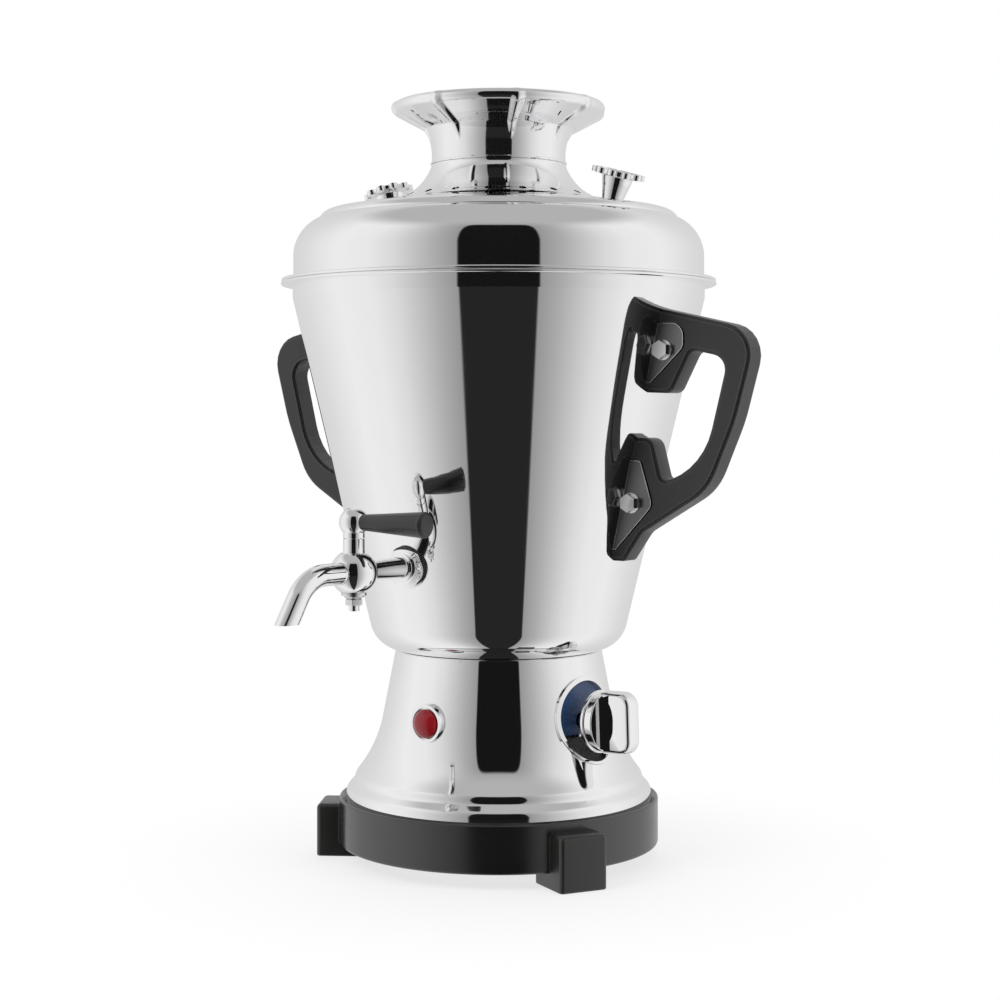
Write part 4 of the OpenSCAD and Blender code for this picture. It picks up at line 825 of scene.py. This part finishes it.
# %% Rounds of the base
BASE_TURN, BASE_SHEET, BASE_TOP_R, BASE_FOOT_R, BASE_BOTTOM = 3.0, 1.2, 50.2, 74.0, 26.5
BASE_LEAN, SWEEP_LEAN, STEP_LEAN, SKIRT_LEAN = 11.0, 37.0, 10.0, 43.0
BASE_SWEEP_R, STEP_R, SKIRT_L, HEM_Z, BASE_ROUND, BASE_FLANGE = 60.0, 5.0, 2.5, 31.5, 1.0, 9.0
LEAN_START = FLOOR_Z - BASE_ROUND
ROUNDS = [(BASE_SWEEP_R, BASE_LEAN, SWEEP_LEAN), (STEP_R, SWEEP_LEAN, STEP_LEAN),
          (STEP_R, STEP_LEAN, SKIRT_LEAN), (STEP_R, SKIRT_LEAN, 0)]


def down(point, length, lean):
    """Where a straight wall of that length ends that runs down from a point with a lean."""
    return (point[0] + length * math.sin(math.radians(lean)),
            point[1] - length * math.cos(math.radians(lean)))


def after_round(point, radius, start, end):
    """Where a wall that runs down ends after a round from one lean to another."""
    a, b = math.radians(start), math.radians(end)
    return (point[0] + radius * abs(math.cos(a) - math.cos(b)),
            point[1] - radius * abs(math.sin(a) - math.sin(b)))


def round_run(point, radius, start, end):
    """The points of that round."""
    a = math.radians(start)
    reach = (radius * math.cos(a), radius * math.sin(a))
    if start < end:
        return arc((point[0] + reach[0], point[1] + reach[1]), radius, 180 + start, 180 + end, 2)
    return arc((point[0] - reach[0], point[1] - reach[1]), radius, start, end, 2)


free_r, free_z = BASE_FOOT_R - BASE_TOP_R, LEAN_START - HEM_Z
used = [down((0, 0), SKIRT_L, SKIRT_LEAN)] + [after_round((0, 0), *bend) for bend in ROUNDS]
for used_r, used_z in used:
    free_r, free_z = free_r - used_r, free_z + used_z
print("left for the straights:", round(free_r, 2), "by", round(free_z, 2), "mm")

# %% Base outline
steep, shallow = math.radians(SWEEP_LEAN), math.radians(BASE_LEAN)
straight = ((free_r - free_z * math.tan(shallow))
            / (math.sin(steep) - math.cos(steep) * math.tan(shallow)))
lean_drop = free_z - straight * math.cos(steep)
at_sweep = (BASE_TOP_R + lean_drop * math.tan(shallow), LEAN_START - lean_drop)
at_step = down(after_round(at_sweep, *ROUNDS[0]), straight, SWEEP_LEAN)
mid_step = after_round(at_step, *ROUNDS[1])
at_hem = down(after_round(mid_step, *ROUNDS[2]), SKIRT_L, SKIRT_LEAN)
top_edge = BASE_TOP_R - BASE_ROUND
base_face = [(BASE_TOP_R - BASE_FLANGE, FLOOR_Z), (top_edge, FLOOR_Z)]
base_face += arc((top_edge, LEAN_START), BASE_ROUND, 90, BASE_LEAN, 20)
for point, (radius, start, end) in zip((at_sweep, at_step, mid_step, at_hem), ROUNDS):
    base_face += round_run(point, radius, start, end)
base_face.append((BASE_FOOT_R, BASE_BOTTOM))
base_outline = held(distinct(base_face) + beside(base_face, BASE_SHEET)[::-1])
print("long straight of the base:", round(straight, 2), "mm")

# %% Base
CONTROLS_Z, CONTROLS_TILT, DIAL_TURN, LAMP_TURN = 70.5, 2.0, 83.5 + BASE_TURN, -2.0 + BASE_TURN
DIAL_HOLE_R, LAMP_HOLE_R, GLAND_HOLE_R, BASE_DRILL = 20.0, 5.8, 7.2, 60
CONTROLS_R = BASE_TOP_R + (LEAN_START - CONTROLS_Z) * math.tan(shallow)

dial_frame = outward(DIAL_TURN, CONTROLS_Z, CONTROLS_R, CONTROLS_TILT)
lamp_frame = outward(LAMP_TURN, CONTROLS_Z, CONTROLS_R, CONTROLS_TILT)
gland_frame = outward(180 + BASE_TURN, CONTROLS_Z, CONTROLS_R)
start = Matrix.Translation((0, 0, -BASE_DRILL / 2))
holes = [rod(DIAL_HOLE_R, BASE_DRILL, dial_frame @ start, 96),
         rod(LAMP_HOLE_R, BASE_DRILL, lamp_frame @ start, 96),
         rod(GLAND_HOLE_R, BASE_DRILL, gland_frame @ start, 96)]
finish_piece("base", with_holes(spun(base_outline), holes), "urn", "chrome", ["base_housing"])
print("controls at radius", round(CONTROLS_R, 2), "mm")

# %% [markdown]
# ## Ring
#
# A black moulded ring closes the base at the bottom and carries the feet. Its outline has two
# walls, a rebate for the base's hem and softly rounded corners, as a mould needs.

# %% Ring
RING_R, RING_Z, RING_TOP, RING_WALL, RING_FLOOR = 77.4, 7.0, 29.5, 2.5, 12.0
LOW_ROUND, TOP_ROUND, TOP_FALL, HEM_PLAY = 1.5, 1.0, 2.2, 0.05
REBATE_REACH, REBATE_SHEET, REBATE_RIB = 4.0, 2.5, 6.0

ring_in, hem_r = RING_R - RING_WALL, BASE_FOOT_R + HEM_PLAY
ring_outline = [(ring_in - RING_FLOOR, RING_Z)]
ring_outline += arc((RING_R - LOW_ROUND, RING_Z + LOW_ROUND), LOW_ROUND, -90, 0, 15)
ring_outline += arc((RING_R - TOP_ROUND, RING_TOP - TOP_ROUND), TOP_ROUND, 0, 90, 15)
ring_outline += [(hem_r, RING_TOP - TOP_FALL), (hem_r, BASE_BOTTOM),
                 (ring_in - REBATE_REACH, BASE_BOTTOM),
                 (ring_in - REBATE_REACH, BASE_BOTTOM - REBATE_SHEET),
                 (ring_in, BASE_BOTTOM - REBATE_RIB), (ring_in, RING_Z + RING_WALL),
                 (ring_in - RING_FLOOR, RING_Z + RING_WALL)]
finish_piece("ring", spun(held(ring_outline)), "urn", "ring_plastic", ["base_ring"])

# %% [markdown]
# ## Feet
#
# Each of the three feet is a moulded block that hooks under the ring and stands proud of it. A
# box with wide bevels gives the soft corners of the moulding, and a boolean with the ring's own
# cylinder gives the hollow face that lies against the ring, and the sunk hole for its screw.

# %% Blocks and soft edges
def block(width, length, low, high):
    """A box mesh around the Z axis, from one height to another."""
    bm = bmesh.new()
    size = Matrix.Diagonal((width, length, high - low, 1))
    middle = Matrix.Translation((0, 0, (low + high) / 2))
    bmesh.ops.create_cube(bm, size=1, matrix=middle @ size)
    return bm


def soften(bm, chosen, width, segments):
    """Rounds the edges of a mesh for which a test of the edge is true."""
    bm.normal_update()
    edges = [edge for edge in bm.edges if chosen(edge)]
    bmesh.ops.bevel(bm, geom=edges, offset=width, offset_type="OFFSET", affect="EDGES",
                    segments=segments, profile=0.5, material=-1)


def above(edge, height):
    """How many of an edge's two ends lie above a height."""
    return sum(vert.co.z > height for vert in edge.verts)


sample = block(2, 2, 0, 2)
soften(sample, lambda edge: above(edge, 1) == 2, 0.5, 2)
print("cube with a soft top:", len(sample.faces), "faces")
sample.free()

# %% A foot's block
FOOT_W, FOOT_T, FOOT_H, FOOT_LEG, FOOT_SOFT, FOOT_HEM = 24.0, 10.4, 25.3, 14.0, 2.2, 0.8


def foot_block():
    """A foot before it is cut, with +Z outwards and +Y up: soft on top and in front, with a
    narrow hem around its sole."""
    inner = RING_R - FOOT_LEG
    bm = block(FOOT_W, FOOT_H, inner, RING_R + FOOT_T)
    soften(bm, lambda edge: max(vert.co.y for vert in edge.verts) > 0 and above(edge, inner + 1),
           FOOT_SOFT, 6)
    soften(bm, lambda edge: all(vert.co.y < 1 - FOOT_H / 2 for vert in edge.verts)
           and edge.calc_face_angle(0) > SHARP_ANGLE, FOOT_HEM, 3)
    return bm


trial = foot_block()
print("foot block:", len(trial.faces), "faces")
trial.free()

# %% Feet
SCREW_AT, SCREW_HOLE_R, HEAD_HOLE_R, HEAD_HOLE, PLAY, RING_CUT = 69.9, 2.2, 4.2, 3.4, 0.15, 40

ring_shape = Matrix.Translation((0, 0, RING_Z))
for name, turn in (("front_right", 60), ("front_left", -60), ("rear", 180)):
    foot = foot_block()
    foot.transform(outward(turn + BASE_TURN, FOOT_H / 2))
    below = Matrix.Translation(direction(turn + BASE_TURN) * SCREW_AT + Vector((0, 0, -1)))
    cutters = [rod(RING_R + PLAY, RING_CUT, ring_shape, 256),
               rod(SCREW_HOLE_R, RING_Z + 2, below, 32), rod(HEAD_HOLE_R, HEAD_HOLE, below, 32)]
    finish_piece("foot_block_" + name, with_holes(foot, cutters), "urn", "foot_plastic",
                 ["foot_" + name], flats=True)

# %% [markdown]
# ## Bezel
#
# The dial's bezel is a raised round rim that hugs the base's curved wall over the dial and ends at
# its straight lower edge. Under the edge only the cup's thin rim shows. Both rims are spun flat,
# cut along the edge with a bisecting plane, and then pressed onto the wall point by point.

# %% The wall behind the dial
BEZEL_R, CUP_R, CUP_WALL, DIAL_EDGE, EDGE_PLAY = 20.75, 19.85, 1.3, 7.5, 0.05
CUP_BORE_R = CUP_R - CUP_WALL


def wall_radius(height):
    """The base's outer radius at a height."""
    for (r0, z0), (r1, z1) in zip(base_face, base_face[1:]):
        if z1 <= height < z0:
            return r0 + (r1 - r0) * (z0 - height) / (z0 - z1)
    return BASE_TOP_R


def crest(outer, height, soft, step):
    """The rounded top of a rim that reaches from the cup's bore to an outer radius."""
    return (arc((outer - soft, height), soft, 0, 90, step)
            + arc((CUP_BORE_R + soft, height), soft, 90, 180, step))


print("base wall at the dial's edge:", round(wall_radius(CONTROLS_Z - DIAL_EDGE), 2), "mm")

# %% A rim on the curved wall
RIM_STEPS, RIM_TRIES, RIM_SHARP = 160, 8, math.radians(40)


def pressed_rim(name, rim_outline, upper):
    """A rim in the dial's frame, cut at the straight edge and pressed onto the base's wall."""
    bm = spun(rim_outline, RIM_STEPS)
    cut = bmesh.ops.bisect_plane(bm, geom=bm.verts[:] + bm.edges[:] + bm.faces[:], dist=0.0001,
                                 plane_co=(0, -DIAL_EDGE - EDGE_PLAY, 0), plane_no=(0, 1, 0),
                                 clear_inner=upper, clear_outer=not upper)["geom_cut"]
    bmesh.ops.holes_fill(bm, edges=[e for e in cut if isinstance(e, bmesh.types.BMEdge)], sides=0)
    for vert in bm.verts:
        lift = 0.0
        for _ in range(RIM_TRIES):
            spot = dial_frame @ Vector((vert.co.x, vert.co.y, lift))
            lift += wall_radius(spot.z) - math.hypot(spot.x, spot.y)
        vert.co.z += lift
    bm.transform(dial_frame)
    bmesh.ops.recalc_face_normals(bm, faces=bm.faces)
    finish_piece(name, bm, "urn", "chrome", [], sharp=RIM_SHARP)


# %% Bezel
CUP_SUNK, CUP_HEIGHT, CUP_SOFT = 1.0, 0.15, 0.3
BEZEL_SUNK, BEZEL_HEIGHT, BEZEL_SOFT = 0.1, 0.6, 0.75

in_the_cup = [(CUP_BORE_R, -CUP_SUNK), (CUP_R, -CUP_SUNK)]
under_the_rim = [(CUP_R, -BEZEL_SUNK), (BEZEL_R, -BEZEL_SUNK)]
pressed_rim("bezel_rim", in_the_cup + under_the_rim
            + crest(BEZEL_R, BEZEL_HEIGHT, BEZEL_SOFT, 12), upper=True)
pressed_rim("cup_rim", in_the_cup + crest(CUP_R, CUP_HEIGHT, CUP_SOFT, 15), upper=False)

# %% [markdown]
# ## Knob
#
# The thermostat's knob is a chromed casting: a round disc and a bar to grip, with a slanting web
# where they meet. The soft edges of the bar are wide enough to mirror the room, so the bar is a
# block that is bevelled twice, first its two outer corners and then the whole outline.

# %% Knob: disc
KNOB_R, KNOB_OUT, DISC_T, SHAFT_R, SHAFT_ROOF = 14.6, 5.6, 6.0, 3.1, 1.5
WEB, WEB_R, WEB_RISE, WEB_SLICES = 3.2, 13.85, 1.2, 31
FLANGE_T, FLANGE_ROUND, DISC_ROUND = 2.0, 0.6, 0.5

disc = [(0, DISC_T - SHAFT_ROOF), (SHAFT_R, DISC_T - SHAFT_ROOF), (SHAFT_R, 0)]
disc += arc((KNOB_R - FLANGE_ROUND, FLANGE_ROUND), FLANGE_ROUND, -90, 0, 15)
disc += arc((KNOB_R - DISC_ROUND, FLANGE_T - DISC_ROUND), DISC_ROUND, 0, 90, 15)
disc += [(WEB_R, FLANGE_T)]
disc += arc((WEB_R - DISC_ROUND, DISC_T - DISC_ROUND), DISC_ROUND, 0, 90, 15) + [(0, DISC_T)]
disc_bm = spun(held(disc, closed=False), 128, closed=False)
print("disc:", len(disc_bm.faces), "faces")

# %% Knob: web
GRIP_H, GRIP_T, GRIP_ROUND, GRIP_SOFT = 14.8, 9.4, 6.5, 1.9

web_foot = GRIP_T + 2 * WEB
web_bm = block(web_foot, 2 * WEB_R, DISC_T - 1, DISC_T + WEB * WEB_RISE)
for vert in web_bm.verts:
    if vert.co.z > DISC_T:
        vert.co.x *= GRIP_T / web_foot
along = [edge for edge in web_bm.edges if abs(edge.verts[0].co.y - edge.verts[1].co.y) > 1]
bmesh.ops.subdivide_edges(web_bm, edges=along, cuts=WEB_SLICES, use_grid_fill=True)
for vert in web_bm.verts:
    if math.hypot(vert.co.x, vert.co.y) > WEB_R:
        vert.co.y = math.copysign(math.sqrt(max(0.0, WEB_R ** 2 - vert.co.x ** 2)), vert.co.y)
print("web:", len(web_bm.faces), "faces")

# %% Knob: grip
grip_bm = block(GRIP_T, 2 * KNOB_R, DISC_T - 1, DISC_T + GRIP_H)
soften(grip_bm, lambda edge: above(edge, DISC_T) == 2
       and abs(edge.verts[0].co.x - edge.verts[1].co.x) > 1, GRIP_ROUND, 12)
soften(grip_bm, lambda edge: above(edge, DISC_T)
       and sum(abs(face.normal.x) > 0.99 for face in edge.link_faces) == 1, GRIP_SOFT, 6)
for vert in grip_bm.verts:
    vert.co.y *= math.sqrt(KNOB_R ** 2 - vert.co.x ** 2) / KNOB_R
print("grip:", len(grip_bm.faces), "faces")

# %% Knob
knob_bm = joined([disc_bm, web_bm, grip_bm])
knob_bm.transform(dial_frame @ Matrix.Translation((0, 0, KNOB_OUT)))
bmesh.ops.recalc_face_normals(knob_bm, faces=knob_bm.faces)
finish_piece("knob", knob_bm, nodes["control_knob"]["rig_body"], "chrome", ["control_knob"],
             flats=True)

# %% [markdown]
# ## Cast, turned and moulded pieces
#
# The tap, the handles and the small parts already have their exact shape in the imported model.
# What they lack is the soft edge that every real part has, which catches a line of light. A copy
# of each is joined up from its loose triangles, its flat faces are merged, and the bevel operator
# rounds the edges. The real piece's edge decides the width: wide on a moulded handle, narrow
# on a turned nut, none on a washer or a wire.

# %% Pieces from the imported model
JOIN, MERGE_ANGLE, BEVEL_SEGMENTS = 0.000002, math.radians(0.4), 3


def dressed(node, bevel):
    """A smooth-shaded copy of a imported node, with its edges rounded by a bevel in millimetres."""
    source = nodes[node]
    bm = bmesh.new()
    bm.from_mesh(source.data)
    bmesh.ops.remove_doubles(bm, verts=bm.verts, dist=JOIN)
    bmesh.ops.dissolve_limit(bm, angle_limit=MERGE_ANGLE, verts=bm.verts, edges=bm.edges)
    bmesh.ops.scale(bm, vec=(1 / MM, 1 / MM, 1 / MM), verts=bm.verts)
    if bevel:
        edges = [edge for edge in bm.edges
                 if len(edge.link_faces) == 2 and edge.calc_face_angle(0) > SHARP_ANGLE]
        bmesh.ops.bevel(bm, geom=edges, offset=bevel, offset_type="OFFSET", affect="EDGES",
                        segments=BEVEL_SEGMENTS, profile=0.5, material=-1, clamp_overlap=True)
    slot = next(p["material_slot"] for p in frame["record"]["subparts"] if p["node"] == node)
    finish_piece(node + "_dressed", bm, source["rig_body"], slot, [node], flats=True)


DONE = {"tank_body", "shoulder_ring", "lid_plate", "crown", "base_housing", "base_ring",
        "control_knob", "foot_front_right", "foot_front_left", "foot_rear"}
BEVELS = {"handle_right": 0.6, "handle_left": 0.6, "brackets_right": 0.3, "brackets_left": 0.3,
          "handle_bolts": 0.3, "handle_nuts": 0.25, "lamp_bezel": 0.4, "tap_lever": 0.5,
          "tap_body": 0.3, "tap_escutcheon": 0.3, "tap_nut": 0.2}
for node in sorted(set(nodes) - DONE):
    dressed(node, BEVELS.get(node, 0.0))
